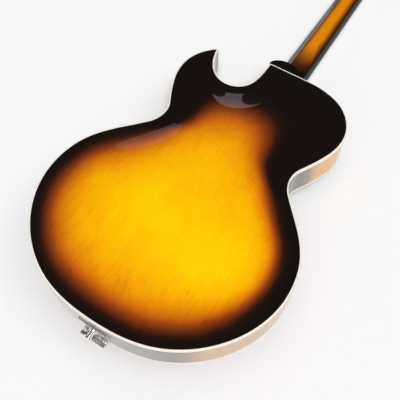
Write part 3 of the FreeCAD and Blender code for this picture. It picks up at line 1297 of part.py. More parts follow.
pin.setExpression("Height", "sizes.hinge_length + 2 * (sizes.eye_length + sizes.eye_gap)"
                            " + 2 * sizes.overrun")
node(pin, ("body", None))
trapeze = Part.makeCylinder(size.trapeze_bar_radius, size.trapeze_bar_length,
                            bar_centre - X_AXIS * (size.trapeze_bar_length / 2), X_AXIS)
trapeze = trapeze.makeFillet(size.trapeze_rod_radius, trapeze.Edges[:1] + trapeze.Edges[2:])
eye_x = (size.hinge_length + size.eye_length) / 2 + size.eye_gap
hinge_neck = body_to_neck.multVec(hinge_at)
eye_hole = Part.makeCylinder(size.pin_radius + size.running_fit, 2 * pin_length,
                             hinge_neck - X_AXIS * pin_length, X_AXIS)
for side in (-1, 1):
    eye = Part.makeCylinder(size.hinge_radius, size.eye_length,
                            hinge_neck + X_AXIS * (side * eye_x - size.eye_length / 2), X_AXIS)
    arm_end = bar_centre + X_AXIS * (side * (size.trapeze_bar_length / 2
                                             - 2 * size.trapeze_rod_radius))
    arm = rod(hinge_neck + X_AXIS * (side * eye_x), arm_end, size.trapeze_rod_radius)
    trapeze = trapeze.fuse(eye).fuse(arm)
trapeze = trapeze.cut(eye_hole).cut(clear_strings)
node(feature("tailpiece_trapeze", one_solid(trapeze)), ("neck", None))
strap_turned = turned("strap_button_knob", (
    (0, 0), (size.strap_button_radius, 0), (size.strap_button_radius, size.strap_button_lip / 2),
    (size.strap_button_neck, size.strap_button_lip),
    (size.strap_button_neck, size.strap_button_length - 2 * size.strap_button_lip),
    (size.strap_button_radius, size.strap_button_length - size.strap_button_lip),
    (size.strap_button_radius, size.strap_button_length), (0, size.strap_button_length)))
strap_bolt = primitive("Cylinder", "strap_button_screw",
                       Placement(Vector(0, 0, -size.strap_screw_length), Rotation()),
                       Radius="sizes.strap_screw_radius", Height="sizes.strap_screw_length")
strap = boolean("Fuse", "strap_button", strap_turned, strap_bolt)
node(strap, ("body", strap_place))

# Output jack in the treble side

plate_line = outline.makeOffset2D(size.jack_plate_thickness)
plate_band = slab(plate_line, 0, size.rim_depth).cut(slab(outline, -size.overrun,
                                                         size.rim_depth + size.overrun))
half = size.jack_plate_size / 2
plate_window = moved(block(-half, half, -half, half, -half, half), jack_place)
jack_plate = plate_band.common(plate_window).cut(moved(jack_hole, jack_place))
jack_plate = jack_plate.cut(Part.makeCompound(jack_screws))
node(feature("jack_plate", one_solid(jack_plate)), ("body", None))
inner_face_level = -size.rim_thickness - size.jack_setback
jack_body = primitive("Cylinder", "jack_body",
                      Placement(Vector(0, 0, inner_face_level - size.jack_body_length),
                                Rotation()),
                      Radius="sizes.jack_body_radius", Height="sizes.jack_body_length")
jack_collar = primitive("Cylinder", "jack_collar",
                        Placement(Vector(0, 0, inner_face_level), Rotation()),
                        Radius="sizes.jack_collar_radius",
                        Height="sizes.rim_thickness + sizes.jack_setback + sizes.jack_rise")
jack_bore = primitive("Cylinder", "jack_bore",
                      Placement(Vector(0, 0, inner_face_level - size.jack_body_length
                                       + size.jack_plate_thickness), Rotation()),
                      Radius="sizes.jack_bore_radius",
                      Height="sizes.jack_body_length + sizes.rim_thickness"
                             " + sizes.jack_setback + sizes.jack_rise")
jack_tube = boolean("Cut", "jack_tube", boolean("Fuse", "jack_blank", jack_body, jack_collar),
                    jack_bore)
jack_nut_blank = primitive("Prism", "jack_nut_blank",
                           Placement(Vector(0, 0, size.jack_plate_thickness), Rotation()),
                           Circumradius="sizes.jack_nut_radius",
                           Height="sizes.jack_nut_thickness")
jack_nut_hole = primitive("Cylinder", "jack_nut_hole", Radius="sizes.jack_collar_radius",
                          Height="sizes.jack_body_length")
jack_nut = boolean("Cut", "jack_nut", jack_nut_blank, jack_nut_hole)
jack = doc.addObject("Part::Compound", "output_jack")
jack.Links = [jack_tube, jack_nut]
node(jack, ("body", jack_place))

# Pickguard on a post and a bracket

guard_x = -size.ring_length / 2 - size.guard_gap
guard_y = pickup_y[1] - size.ring_width / 2
guard_points = [(guard_x - size.guard_width * a, guard_y + size.guard_length * b)
                for a, b in GUARD_SHARES]
guard_pad = padded("guard_pad", "XY_Plane", polygon(guard_points), "sizes.guard_thickness")
guard_pad.Placement = Placement(Vector(0, 0, size.guard_face_level), Rotation())
guard_back = size.guard_face_level + size.guard_thickness
guard_shape = shape_of(guard_pad)
post_at = Vector(guard_x - size.guard_width * GUARD_POST_SHARES[0],
                 guard_y + size.guard_length * GUARD_POST_SHARES[1], guard_back)
guard_post = Part.makeCylinder(size.guard_post_radius, size.rim_depth / 2, post_at).cut(
    inside_top_neck)
waist_place = Vector(-half_waist, bass_points[len(LOWER_BOUT_SHARES) + 1][1], 0)
side_x = waist_place.x - size.guard_foot_thickness / 2
guard_rod_level = guard_back + size.guard_rod_radius
waist_neck = body_to_neck.multVec(Vector(side_x, waist_place.y, size.guard_foot_level))
rod_points = [Vector(guard_x - size.guard_width / 2, waist_neck.y, guard_rod_level),
              Vector(side_x - size.guard_rod_clearance, waist_neck.y, guard_rod_level),
              Vector(side_x - size.guard_rod_clearance, waist_neck.y, waist_neck.z)]
guard_rod = tube(rounded_path(rod_points, size.lead_bend), size.guard_rod_radius)
foot = Part.makeCylinder(size.guard_foot_radius, size.guard_foot_thickness
                         + 2 * size.guard_rod_radius,
                         Vector(waist_place.x, waist_neck.y, waist_neck.z), X_AXIS * -1)
foot = foot.cut(moved(slab(outline, -size.overrun, size.rim_depth), body_to_neck))
bracket = one_solid(guard_rod.fuse(foot))
group("pickguard", [guard_shape, one_solid(guard_post), bracket], ("neck", None))

# Leads between the pickups, pots, switch and jack

def lead(start, start_way, end, end_way):
    """A shielded lead that leaves and arrives square, with a straight run between."""
    points = [start + start_way * size.lead_gap, start + start_way * size.lead_rise,
              end + end_way * size.lead_rise, end + end_way * size.lead_gap]
    return tube(rounded_path(points, size.lead_bend), size.lead_radius)


pot_back = pot_top - size.pot_can_height
lead_off = size.pot_can_radius / 2


def pot_end(index, side):
    place = knob_places[index][1]
    return (place.multVec(Vector(0, side * lead_off, pot_back)),
            place.Rotation.multVec(Z_AXIS * -1))


jack_end = (jack_place.multVec(Vector(0, 0, inner_face_level - size.jack_body_length)),
            jack_normal * -1)
switch_end = (switch_place.multVec(Vector(0, 0, -full_plate - size.pot_seat
                                          - size.switch_height)),
              switch_place.Rotation.multVec(Z_AXIS * -1))
pickup_ends = []
for place in pickup_places:
    out = place.multVec(Vector(-size.pickup_length / 4, 0, size.pickup_height))
    pickup_ends.append((neck_to_body.multVec(out), neck_to_body.Rotation.multVec(Z_AXIS)))
leads = [lead(*pickup_ends[0], *pot_end(0, 1)), lead(*pickup_ends[1], *pot_end(1, 1)),
         lead(*pot_end(2, 1), *switch_end), lead(*pot_end(3, -1), *jack_end),
         lead(*pot_end(0, -1), *pot_end(2, -1))]
group("wiring_leads", leads, ("body", None))

all_screws = [moved(one, neck_to_body) for one in ring_screws]
all_screws += [moved(moved(one, head_to_neck), neck_to_body)
               for one in tuner_screws + cover_screws]
all_screws += hanger_screws + jack_screws
group("wood_screws", all_screws, ("body", None))

# Check, place and write

doc.recompute()
for made in doc.Objects:
    if "Invalid" in made.State or "Error" in made.State:
        raise RuntimeError("failed: " + made.Name)
bottom = Placement(Vector(0, 0, 0), Rotation())
frames = {"neck": bottom, "body": body_to_neck, "head": head_to_neck}
whole = FreeCAD.BoundBox()
for made, (frame, place) in nodes:
    shown = frames[frame] if place is None else frames[frame].multiply(place)
    if made.Shape.isNull() or not made.Shape.isValid():
        raise RuntimeError("bad shape: " + made.Label)
    whole.add(moved(made.Shape, shown).optimalBoundingBox(False))
shift = Placement(Vector(0, -whole.Center.y, -whole.ZMin), Rotation())
os.makedirs("parts", exist_ok=True)
for made, (frame, place) in nodes:
    shown = frames[frame] if place is None else frames[frame].multiply(place)
    made.Placement = shift.multiply(shown).multiply(made.Placement)
doc.recompute()
for made, frame in nodes:
    made.Shape.exportStep(os.path.join("parts", made.Label + ".step"))
    print(made.Label, len(made.Shape.Solids), round(made.Shape.Volume, 1))
print("box", whole.XLength, whole.YLength, whole.ZLength)


def told(name, point, way, frame):
    """Print a joint's point in metres and its axis, in the part's own frame."""
    place = shift.multiply(frames[frame])
    at = place.multVec(point) * 0.001
    axis = place.Rotation.multVec(way)
    print("joint", name, [round(v, 6) for v in at], [round(v, 6) for v in axis])


for number, (axis, at) in enumerate(key_frames, 1):
    told("tuner_key_%d" % number, axis, X_AXIS, "head")
    told("tuner_post_%d" % number, at, Z_AXIS, "head")
for name, place in knob_frames.items():
    told("knob_" + name, place.Base, place.Rotation.multVec(Z_AXIS), "body")
told("selector_lever", switch_place.multVec(Vector(0, 0, lever_pivot)),
     switch_place.Rotation.multVec(X_AXIS), "body")
for side, spot in zip(("bass", "treble"), post_spots):
    told("bridge_wheel_" + side, Vector(spot.x, spot.y, wheel_level), Z_AXIS, "neck")
told("output_jack", jack_place.Base, jack_normal, "body")
told("strap_button", strap_place.Base, strap_place.Rotation.multVec(Z_AXIS), "body")
told("camera_tail", Vector(0, 0, size.rim_depth), Y_AXIS, "body")
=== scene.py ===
"""Archtop guitar lying face down: the smooth body, every finish, the floor and the light."""

import math

import bpy
import numpy as np
from mathutils import Matrix, Vector
from mathutils.geometry import delaunay_2d_cdt


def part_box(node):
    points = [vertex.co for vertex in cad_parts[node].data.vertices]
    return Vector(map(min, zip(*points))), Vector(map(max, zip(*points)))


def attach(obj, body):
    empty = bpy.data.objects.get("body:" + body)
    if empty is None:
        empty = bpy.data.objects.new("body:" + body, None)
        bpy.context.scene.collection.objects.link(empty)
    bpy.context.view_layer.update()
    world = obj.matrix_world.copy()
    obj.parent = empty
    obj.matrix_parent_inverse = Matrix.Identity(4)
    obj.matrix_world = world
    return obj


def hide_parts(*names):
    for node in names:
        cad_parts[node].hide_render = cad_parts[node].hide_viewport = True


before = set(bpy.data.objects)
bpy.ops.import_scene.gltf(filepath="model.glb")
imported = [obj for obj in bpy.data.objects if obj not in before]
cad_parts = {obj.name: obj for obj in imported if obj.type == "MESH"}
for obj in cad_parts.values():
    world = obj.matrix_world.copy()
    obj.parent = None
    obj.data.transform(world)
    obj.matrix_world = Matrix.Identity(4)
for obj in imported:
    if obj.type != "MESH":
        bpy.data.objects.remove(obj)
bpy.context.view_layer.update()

bl_info = {
    "name": "Archtop guitar",
    "version": (1, 0, 0),
    "blender": (4, 5, 0),
    "location": "View3D > Sidebar > Guitar",
    "description": "Dresses the packed archtop guitar and sets its stage",
    "category": "Object",
}

# Outline points: across, as shares of the half width named, along, as shares of the body
# length, and the heading in degrees, going round from the tail over the bass side.
LOWER_BOUT_SHARES = ((0.2626, 0.0077, 9.8), (0.5256, 0.0412, 27.5), (0.7502, 0.1048, 45),
                     (0.9138, 0.1916, 62.8), (1, 0.3257, 90), (0.9236, 0.4522, 118.5),
                     (0.7365, 0.5467, 133.4))
WAIST_SHARES = ((1, 0.6513, 90),)
UPPER_BOUT_SHARES = ((0.8697, 0.7215, 62.4), (1, 0.8448, 90), (0.8597, 0.9439, 133),
                     (0.7779, 0.9642, 144.5), (0.6197, 0.9866, 162), (0.3324, 1, 180))
CUTAWAY_SHARES = ((0.1755, 0.9341, 264.7), (0.2214, 0.8851, 238), (0.4388, 0.8511, 180),
                  (0.6077, 0.8686, 142.5), (0.7174, 0.909, 117), (0.7779, 0.9642, 99))
BASS_POINTS_PAST_TIP = 2

# Colours of the burst, as they look in daylight, each after its place in a span: on the
# plates by the depth in the burst in millimetres, on the rims from the grey tail, waist
# and neck, a painted reflection of the pale floor, to the peach bouts, and on the neck
# from its edges to its middle.
BACK_BURST = ((0, (19, 12, 9)), (8, (27, 15, 10)), (14, (46, 21, 10)), (20, (96, 38, 13)),
              (28, (146, 64, 15)), (36, (197, 98, 12)), (46, (225, 132, 5)),
              (58, (242, 157, 1)), (75, (251, 179, 0)), (100, (254, 191, 0)),
              (140, (255, 206, 0)))
RIM_BURST_AND_REFLECTION = ((0, (200, 196, 192)), (20, (152, 147, 143)), (35, (141, 135, 131)),
             (60, (162, 144, 130)), (112, (210, 175, 137)), (150, (231, 183, 124)))
NECK_BURST = ((0, (15, 10, 8)), (28, (17, 10, 8)), (60, (76, 34, 9)), (90, (150, 79, 9)),
              (120, (205, 116, 7)), (150, (228, 138, 7)))
BURST_SPAN = 150

# The burst on the plates. Along the middle its cap falls with a slope, to nothing where it
# ends near the neck. To both sides it falls over a half width of still + slope * ahead
# + bend * ahead^2, with ahead the way from where the width starts to the tail.
CAP_END = 0.45
CAP_SLOPE = 0.52
CAP_LEAST_FALL = 0.01
CAP_WIDTH_TERMS = (0.129, -1.6, 15.45)
CAP_WIDTH_STARTS = 0.402
CAP_LEAST_AHEAD = 0.052
CAP_WIDTH_BASS_TREBLE = (0.93, 0.97)
# Its distance to the edge is squared over spans of the bass side, is shorter per metre to
# the treble side and leans there, deeper at the tail and less deep at the neck: painted
# shade on the treble side, lighter towards the tail and darker towards the neck.
EDGE_SHARE = 0.93
TREBLE_PAINTED_SHADE_LOSS = 0.63
SQUARED_ACROSS = (0.02, 0.17)
SQUARED_ALONG = (0.04, 0.16)
SQUARED_SCALE = 0.038
TREBLE_SHADE_LEAN_SLOPE = 1.8
TREBLE_SHADE_LEAN_TURNS_AT = 0.165
TREBLE_SHADE_LEAN_LIMITS = (-0.13, 0.12)
TREBLE_SHADE_LEAN_ACROSS = (0.02, 0.12)
BURST_SOFTNESS = 0.002

# The burst on the rims, greyed at the tail, waist and neck by a painted reflection of
# the floor: spans of the plan over which it changes, and places in its table.
RIM_TAIL_ASIDE = (0.104, 0.168)
RIM_TAIL_ALONG = (0.1, 0.2)
RIM_WAIST_STARTS = (0.27, 0.31)
RIM_WAIST_ENDS = (0.362, 0.394)
RIM_NECK_STARTS = (0.47, 0.505)
# where the painted reflection of the floor greys the rims, and how far in the table
RIM_PAINTED_REFLECTION_ACROSS = (-0.03, 0.02)
RIM_PAINTED_REFLECTION_ASIDE = (0.07, 0.11)
RIM_PAINTED_REFLECTION_STEPS = (20, 15)
RIM_PEACH_ALONG = (0.3, 0.42)
RIM_PEACH_LEAST = 112
RIM_PEACH_RISE = 38

# The burst on the neck: half widths at the joint and the nut, shares of them where the dark
# edge ends and the amber starts, a smaller share on the bass side, and distances from the
# joint and the nut between which the heel and the head go from dark to amber.
NECK_HALF_WIDTHS = (0.0268, 0.0215)
NECK_DARK_TO_AMBER = (0.8, 0.22)
NECK_BASS_SHARE = 0.87
NECK_SIDES_MEET = 0.004
HEEL_BOW = 0.03
HEEL_DARK_TO_AMBER = (0.029, 0.126)
HEAD_DARK_TO_AMBER = (0.02, 0.07)

# Points of the plates: rows at these depths follow the edge, each keeping most of its depth
# from all of the edge, and a grid fills the rest. Sound holes keep a space clear of points.
ROW_DEPTHS = (0.002, 0.0045, 0.0075, 0.011, 0.015)
ROW_DEPTH_KEPT = 0.93
GRID_DEPTH = 0.018
GRID_STEP = 0.0045
HOLE_SPACE = 0.0012
WELD_DISTANCE = 1e-7

# Middle of the bass side sound hole: from the centre line, and past the bridge to the neck.
HOLE_ASIDE = 0.089
HOLE_PAST_BRIDGE = 0.0195

# Suns: name, which is also the setting of their strength, azimuth, rise and width in degrees.
SUNS = (("key", 75, 58, 28), ("fill", 146, 60, 26))
SUN_DISTANCE = 3.0
# Mirrored cards: name, setting of their power, share of it, the spot of the body that they
# face, azimuth and rise in degrees, distance, width and height.
CARDS = (("wall", "wall_power", 1.0, (0, 0.4, 0.06), -75, 10, 4.0, 5.0, 1.4),
         ("card_treble", "card_power", 0.31, (-0.112, 0.275, 0.064), -45.48, 30.68, 6.0,
          0.697, 0.44),
         ("card_neck", "card_power", 1.0, (-0.034, 0.402, 0.067), -27.4, 26.25, 6.0,
          0.356, 1.314))
FLOOR_REACH = 60.0
# The pale band over the floor's far edge fades out between these heights of a view ray.
HORIZON_FADES = (0.2, 0.38)


def linear(colour):
    """Linear light of a colour given in the 0 to 255 steps of a display."""
    share = np.asarray(colour, float) / 255
    return np.where(share <= 0.04045, share / 12.92, ((share + 0.055) / 1.055) ** 2.4)


def rgba(colour):
    return (*linear(colour), 1.0)


class BodySizes(bpy.types.PropertyGroup):
    """Sizes of the hollow body."""

    body_length: bpy.props.FloatProperty(
        name="Body length", description="From the tail to the neck joint",
        default=0.522, unit="LENGTH")
    lower_bout: bpy.props.FloatProperty(
        name="Lower bout", description="Widest width near the tail",
        default=0.406, unit="LENGTH")
    waist: bpy.props.FloatProperty(
        name="Waist", description="Narrowest width", default=0.2324, unit="LENGTH")
    upper_bout: bpy.props.FloatProperty(
        name="Upper bout", description="Width near the neck", default=0.3008, unit="LENGTH")
    cutaway_wall: bpy.props.FloatProperty(
        name="Cutaway wall", description="From the centre line to the cutaway at the neck",
        default=0.0255, unit="LENGTH")
    rim_depth: bpy.props.FloatProperty(
        name="Rim depth", description="From the front edge to the back edge",
        default=0.06, unit="LENGTH")
    rim_thickness: bpy.props.FloatProperty(
        name="Rim thickness", description="Thickness of the bent sides",
        default=0.0025, unit="LENGTH")
    plate_thickness: bpy.props.FloatProperty(
        name="Plate thickness", description="Thickness of the arched plates",
        default=0.0045, unit="LENGTH")
    arch: bpy.props.FloatProperty(
        name="Arch", description="Height of the arching over the edge",
        default=0.01499, unit="LENGTH")
    arch_reach: bpy.props.FloatProperty(
        name="Arch reach", description="How far in from the edge the arching rises",
        default=0.042, unit="LENGTH")
    binding_width: bpy.props.FloatProperty(
        name="Binding width", description="Width of the binding seen from the back",
        default=0.002, unit="LENGTH")
    binding_height: bpy.props.FloatProperty(
        name="Binding height", description="Height of the binding seen from the side",
        default=0.006, unit="LENGTH")
    binding_round: bpy.props.FloatProperty(
        name="Binding round", description="Rounding of the binding's outer corner",
        default=0.0007, unit="LENGTH")
    pitch: bpy.props.FloatProperty(
        name="Pitch", description="Tilt of the body against the neck",
        default=math.radians(3.2), unit="ROTATION")


class FinishColours(bpy.types.PropertyGroup):
    """Plain colours of the fittings."""

    binding: bpy.props.FloatVectorProperty(
        name="Binding", description="Aged cream binding", size=4, subtype="COLOR",
        default=rgba((250, 241, 225)))
    bare_wood: bpy.props.FloatVectorProperty(
        name="Bare wood", description="Unfinished wood inside the body", size=4,
        subtype="COLOR", default=rgba((205, 172, 124)))
    mahogany: bpy.props.FloatVectorProperty(
        name="Mahogany", description="Blocks inside the body", size=4, subtype="COLOR",
        default=rgba((150, 92, 58)))
    rosewood: bpy.props.FloatVectorProperty(
        name="Rosewood", description="Fingerboard and bridge", size=4, subtype="COLOR",
        default=rgba((74, 45, 33)))
    nickel: bpy.props.FloatVectorProperty(
        name="Nickel", description="Plated fittings", size=4, subtype="COLOR",
        default=rgba((235, 233, 229)))
    steel: bpy.props.FloatVectorProperty(
        name="Steel", description="Strings, frets and screws", size=4, subtype="COLOR",
        default=rgba((190, 190, 188)))
    bone: bpy.props.FloatVectorProperty(
        name="Bone", description="Nut", size=4, subtype="COLOR",
        default=rgba((234, 225, 200)))
    pearl: bpy.props.FloatVectorProperty(
        name="Pearl", description="Fret markers", size=4, subtype="COLOR",
        default=rgba((228, 228, 220)))
    black: bpy.props.FloatVectorProperty(
        name="Black", description="Black plastic", size=4, subtype="COLOR",
        default=rgba((22, 21, 21)))
    amber: bpy.props.FloatVectorProperty(
        name="Amber", description="Amber plastic of knobs and lever", size=4,
        subtype="COLOR", default=rgba((196, 122, 34)))
    braid: bpy.props.FloatVectorProperty(
        name="Braid", description="Braided leads", size=4, subtype="COLOR",
        default=rgba((150, 146, 134)))


class StageSettings(bpy.types.PropertyGroup):
    """Floor, lights and camera."""

    floor: bpy.props.FloatVectorProperty(
        name="Floor", description="Colour of the paper floor", size=4, subtype="COLOR",
        default=rgba((246, 246, 247)))
    key: bpy.props.FloatProperty(
        name="Key", description="Light per area from the lamp on the bass side",
        default=0.4)
    fill: bpy.props.FloatProperty(
        name="Fill", description="Light per area from the lamp between bass side and tail",
        default=2.02)
    wall_power: bpy.props.FloatProperty(
        name="Wall", description="Power of the low white wall on the treble side",
        default=24.0, unit="POWER")
    card_power: bpy.props.FloatProperty(
        name="Cards", description="Power of the low white cards that the lacquer mirrors",
        default=1.5, unit="POWER")
    sky: bpy.props.FloatProperty(
        name="Sky", description="Strength of the even light from the room", default=0.36)
    dim: bpy.props.FloatProperty(
        name="Dim room", description="Strength of the room as the lacquer mirrors it",
        default=0.05)
    horizon: bpy.props.FloatProperty(
        name="Horizon", description="Strength of the pale band behind the floor's far edge",
        default=0.93)
    lens: bpy.props.FloatProperty(
        name="Lens", description="Focal length of the camera on a 36 mm sensor",
        default=53.71, unit="CAMERA")


def sizes():
    return bpy.context.scene.guitar_sizes


def colours():
    return bpy.context.scene.guitar_colours


# Shapes in the plan of the body: x to the bass side, y from the tail to the neck

def heading(angle):
    """Unit vector of the plan at an angle in degrees from the bass side."""
    return np.array((math.cos(math.radians(angle)), math.sin(math.radians(angle))))


def turned(vectors, angle):
    """Plan vectors turned left by angles in radians."""
    c, s = np.cos(angle), np.sin(angle)
    return np.stack((c * vectors[..., 0] - s * vectors[..., 1],
                     s * vectors[..., 0] + c * vectors[..., 1]), -1)


def arc_run(start, tangent, end, step):
    """Points and tangents of the arc that leaves start along tangent and ends at end.

    With side the part of the chord square to the tangent, the arc turns through
    2 atan(side / along) about a centre chord^2 / (2 side) to that side."""
    chord = end - start
    along = chord @ tangent
    across = tangent[0] * chord[1] - tangent[1] * chord[0]
    angle = 2 * math.atan2(across, along)
    length = np.linalg.norm(chord)
    if abs(angle) > 1e-6:
        length *= angle / 2 / math.sin(angle / 2)
    count = max(2, math.ceil(length / step))
    share = np.arange(count) / count
    turn = angle * share
    tangents = turned(np.tile(tangent, (count, 1)), turn)
    half = turned(np.tile(tangent, (count, 1)), turn / 2)
    chords = length * share * np.sinc(turn / 2 / math.pi)
    return start + half * chords[:, None], tangents, turned(tangent, angle)


def biarc_run(start, leaving, end, arriving, step):
    """Two tangent arcs from a point and direction to another, joined half way along
    equal tangent lengths."""
    chord = end - start
    both = chord @ (leaving + arriving)
    bend = 2 * (1 - leaving @ arriving)
    if bend < 1e-9:
        reach = chord @ chord / (4 * (chord @ arriving))
    else:
        reach = (math.sqrt(both * both + bend * (chord @ chord)) - both) / bend
    middle = (start + end + (leaving - arriving) * reach) / 2
    first, first_way, way = arc_run(start, leaving, middle, step)
    second, second_way, _ = arc_run(middle, way, end, step)
    return np.concatenate((first, second)), np.concatenate((first_way, second_way))


def chain_run(anchors, step):
    """Biarcs through anchors of x, y and heading."""
    runs = [biarc_run(np.array(a[:2]), heading(a[2]), np.array(b[:2]), heading(b[2]), step)
            for a, b in zip(anchors, anchors[1:])]
    return [np.concatenate(parts) for parts in zip(*runs)]


def body_outline(step=0.0011):
    """Points round the body and the vectors that move each of them inwards.

    An inward vector is the tangent turned left, and at a corner the mitre of both
    sides. Points that would cross over a mitre, with a margin, are left out."""
    s = sizes()
    margin = 1.05
    bass = [(0.0, 0.0, 0.0)]
    for half, table in ((s.lower_bout / 2, LOWER_BOUT_SHARES), (s.waist / 2, WAIST_SHARES),
                        (s.upper_bout / 2, UPPER_BOUT_SHARES)):
        bass += [(half * a, s.body_length * b, turn) for a, b, turn in table]
    corner = np.array((-s.cutaway_wall, s.body_length))
    cutaway = [(*corner, 270)]
    cutaway += [(-s.upper_bout / 2 * a, s.body_length * b, turn)
                for a, b, turn in CUTAWAY_SHARES]
    treble = [(-x, y, -turn) for x, y, turn in reversed(bass[:-BASS_POINTS_PAST_TIP])]
    runs = [chain_run(bass, step),
            arc_run(np.array(bass[-1][:2]), heading(180), corner, step)[:2],
            chain_run(cutaway, step), chain_run(treble, step)]
    points, ways = (np.concatenate(parts) for parts in zip(*runs))
    inward = turned(ways, math.pi / 2)
    gaps = np.linalg.norm(np.roll(points, -1, 0) - points, axis=1)
    place = np.concatenate(((0,), np.cumsum(gaps)[:-1]))
    keep = np.ones(len(points), bool)
    corners = (len(runs[0][0]) + len(runs[1][0]), len(points) - len(runs[3][0]))
    for index in corners:
        before, after = inward[index - 1], inward[index]
        keep_out = s.rim_thickness * math.sqrt((1 - before @ after) / (1 + before @ after))
        inward[index] = (before + after) / (1 + before @ after)
        apart = np.abs(place - place[index])
        keep &= (apart == 0) | (apart > margin * keep_out)
    return points[keep], inward[keep]


def spacing(loop):
    """Half the length of both neighbouring gaps at each point of a closed loop."""
    gaps = np.linalg.norm(np.roll(loop, -1, 0) - loop, axis=1)
    return (gaps + np.roll(gaps, 1)) / 2


def edge_distance(points, loop):
    """Distance from plan points to the nearest point of a loop."""
    squares = ((points[:, None] - loop[None]) ** 2).sum(2)
    return np.sqrt(squares.min(1))


def arch_share(points, loop):
    """Height share of the arching: with r the distance to each point of the edge and
    reach = (sum of ds / r^3)^(-1/2), it is 1 - exp(-(reach / arch_reach)^2)."""
    squares = ((points[:, None] - loop[None]) ** 2).sum(2)
    near = 4e-5 ** 2
    total = (spacing(loop) * np.maximum(squares, near) ** -1.5).sum(1)
    return 1 - np.exp(-1 / (total * sizes().arch_reach ** 2))


def smooth_step(value, low, high):
    """3 t^2 - 2 t^3 of the share t between low and high."""
    share = np.clip((value - low) / (high - low), 0, 1)
    return share * share * (3 - 2 * share)


def burst_depth_and_treble_shade(points, depth):
    """How deep in the burst plan points are, given their distance to the edge.

    It is the soft minimum of that distance and of a cap. The distance is squared more and
    more towards the bass side, and is less to the treble side, where it leans, as painted
    shade, lighter towards the tail and darker towards the neck. The cap falls to the neck
    along the middle and, as a parabola over a width that grows to the tail, to both sides."""
    x, y = points.T
    ahead = np.maximum(CAP_WIDTH_STARTS - y, CAP_LEAST_AHEAD)
    still, slope, bend = CAP_WIDTH_TERMS
    width = still + slope * ahead + bend * ahead ** 2
    width *= np.where(x > 0, *CAP_WIDTH_BASS_TREBLE)
    fall = CAP_SLOPE * (CAP_END - y)
    cap = fall - np.maximum(fall, CAP_LEAST_FALL) * (x / width) ** 2
    bass = smooth_step(x, *SQUARED_ACROSS) * smooth_step(y, *SQUARED_ALONG)
    # painted shade on the treble side: the distance is shorter there and leans along the body
    treble_shade_lean = np.clip(TREBLE_SHADE_LEAN_SLOPE * (TREBLE_SHADE_LEAN_TURNS_AT - y), *TREBLE_SHADE_LEAN_LIMITS)
    treble_shade_lean *= smooth_step(-x, *TREBLE_SHADE_LEAN_ACROSS)
    even = depth * (EDGE_SHARE + TREBLE_PAINTED_SHADE_LOSS * np.minimum(x, 0)) * (1 + treble_shade_lean)
    edge = even + (depth ** 2 / SQUARED_SCALE - even) * bass
    return -BURST_SOFTNESS * np.logaddexp(-edge / BURST_SOFTNESS, -cap / BURST_SOFTNESS)


def rim_burst_and_reflection(outline):
    """Place in the rims' table at each outline point: grey, a painted reflection of the pale
    floor, at the tail, the waist and the neck, and peach on the bouts."""
    across, along = outline.T
    aside = np.abs(across)
    tail = np.maximum(smooth_step(aside, *RIM_TAIL_ASIDE), smooth_step(along, *RIM_TAIL_ALONG))
    waist = smooth_step(along, *RIM_WAIST_STARTS) * (1 - smooth_step(along, *RIM_WAIST_ENDS))
    neck = smooth_step(along, *RIM_NECK_STARTS)
    # grey: the painted reflection of the pale floor on the rims' lacquer
    grey = RIM_PAINTED_REFLECTION_STEPS[0] * smooth_step(across, *RIM_PAINTED_REFLECTION_ACROSS)
    grey += RIM_PAINTED_REFLECTION_STEPS[1] * smooth_step(aside, *RIM_PAINTED_REFLECTION_ASIDE)
    peach = RIM_PEACH_LEAST + RIM_PEACH_RISE * smooth_step(along, *RIM_PEACH_ALONG)
    return grey + (peach - grey) * tail * (1 - waist) * (1 - neck)


def inside(points, loop):
    """True where a ray to +x from a point crosses the closed loop an odd number of times."""
    a, b = loop, np.roll(loop, -1, 0)
    x, y = points[:, 0, None], points[:, 1, None]
    spans = (a[:, 1] > y) != (b[:, 1] > y)
    rise = np.where(a[:, 1] == b[:, 1], 1, b[:, 1] - a[:, 1])
    crossing = a[:, 0] + (y - a[:, 1]) * (b[:, 0] - a[:, 0]) / rise
    return (spans & (x < crossing)).sum(1) % 2 == 1


def plan_mesh(loop, inward, holes):
    """Points and triangles of the plan inside a loop and outside the holes.

    The points are the loop, rows that follow it inwards, each with fewer points than the
    one before, and a staggered grid."""
    fill = []
    for index, depth in enumerate(ROW_DEPTHS):
        row = (loop + inward * depth)[::2 + index]
        fill.append(row[edge_distance(row, loop) > ROW_DEPTH_KEPT * depth])
    low, high = loop.min(0), loop.max(0)
    xs = np.arange(low[0], high[0], GRID_STEP)
    ys = np.arange(low[1], high[1], GRID_STEP * math.sqrt(3) / 2)
    across, along = np.meshgrid(xs, ys)
    across[1::2] += GRID_STEP / 2
    middle = np.stack((across, along), -1).reshape(-1, 2)
    middle = middle[inside(middle, loop)]
    fill.append(middle[edge_distance(middle, loop) > GRID_DEPTH])
    fill = np.concatenate(fill)
    for hole in holes:
        fill = fill[edge_distance(fill, hole) > HOLE_SPACE]
    loops = [loop] + list(holes)
    points = np.concatenate(loops + [fill])
    edges = []
    first = 0
    for one in loops:
        index = np.arange(len(one))
        edges += (np.stack((index, np.roll(index, -1)), 1) + first).tolist()
        first += len(one)
    made = delaunay_2d_cdt([Vector(p) for p in points.tolist()], edges, [], 0,
                           WELD_DISTANCE)
    flat = np.array([tuple(v) for v in made[0]])
    triangles = np.array(made[2])
    centres = flat[triangles].mean(1)
    keep = inside(centres, loop)
    for hole in holes:
        keep &= ~inside(centres, hole)
    triangles = triangles[keep]
    used, triangles = np.unique(triangles, return_inverse=True)
    return flat[used], triangles.reshape(-1, 3)


# Meshes

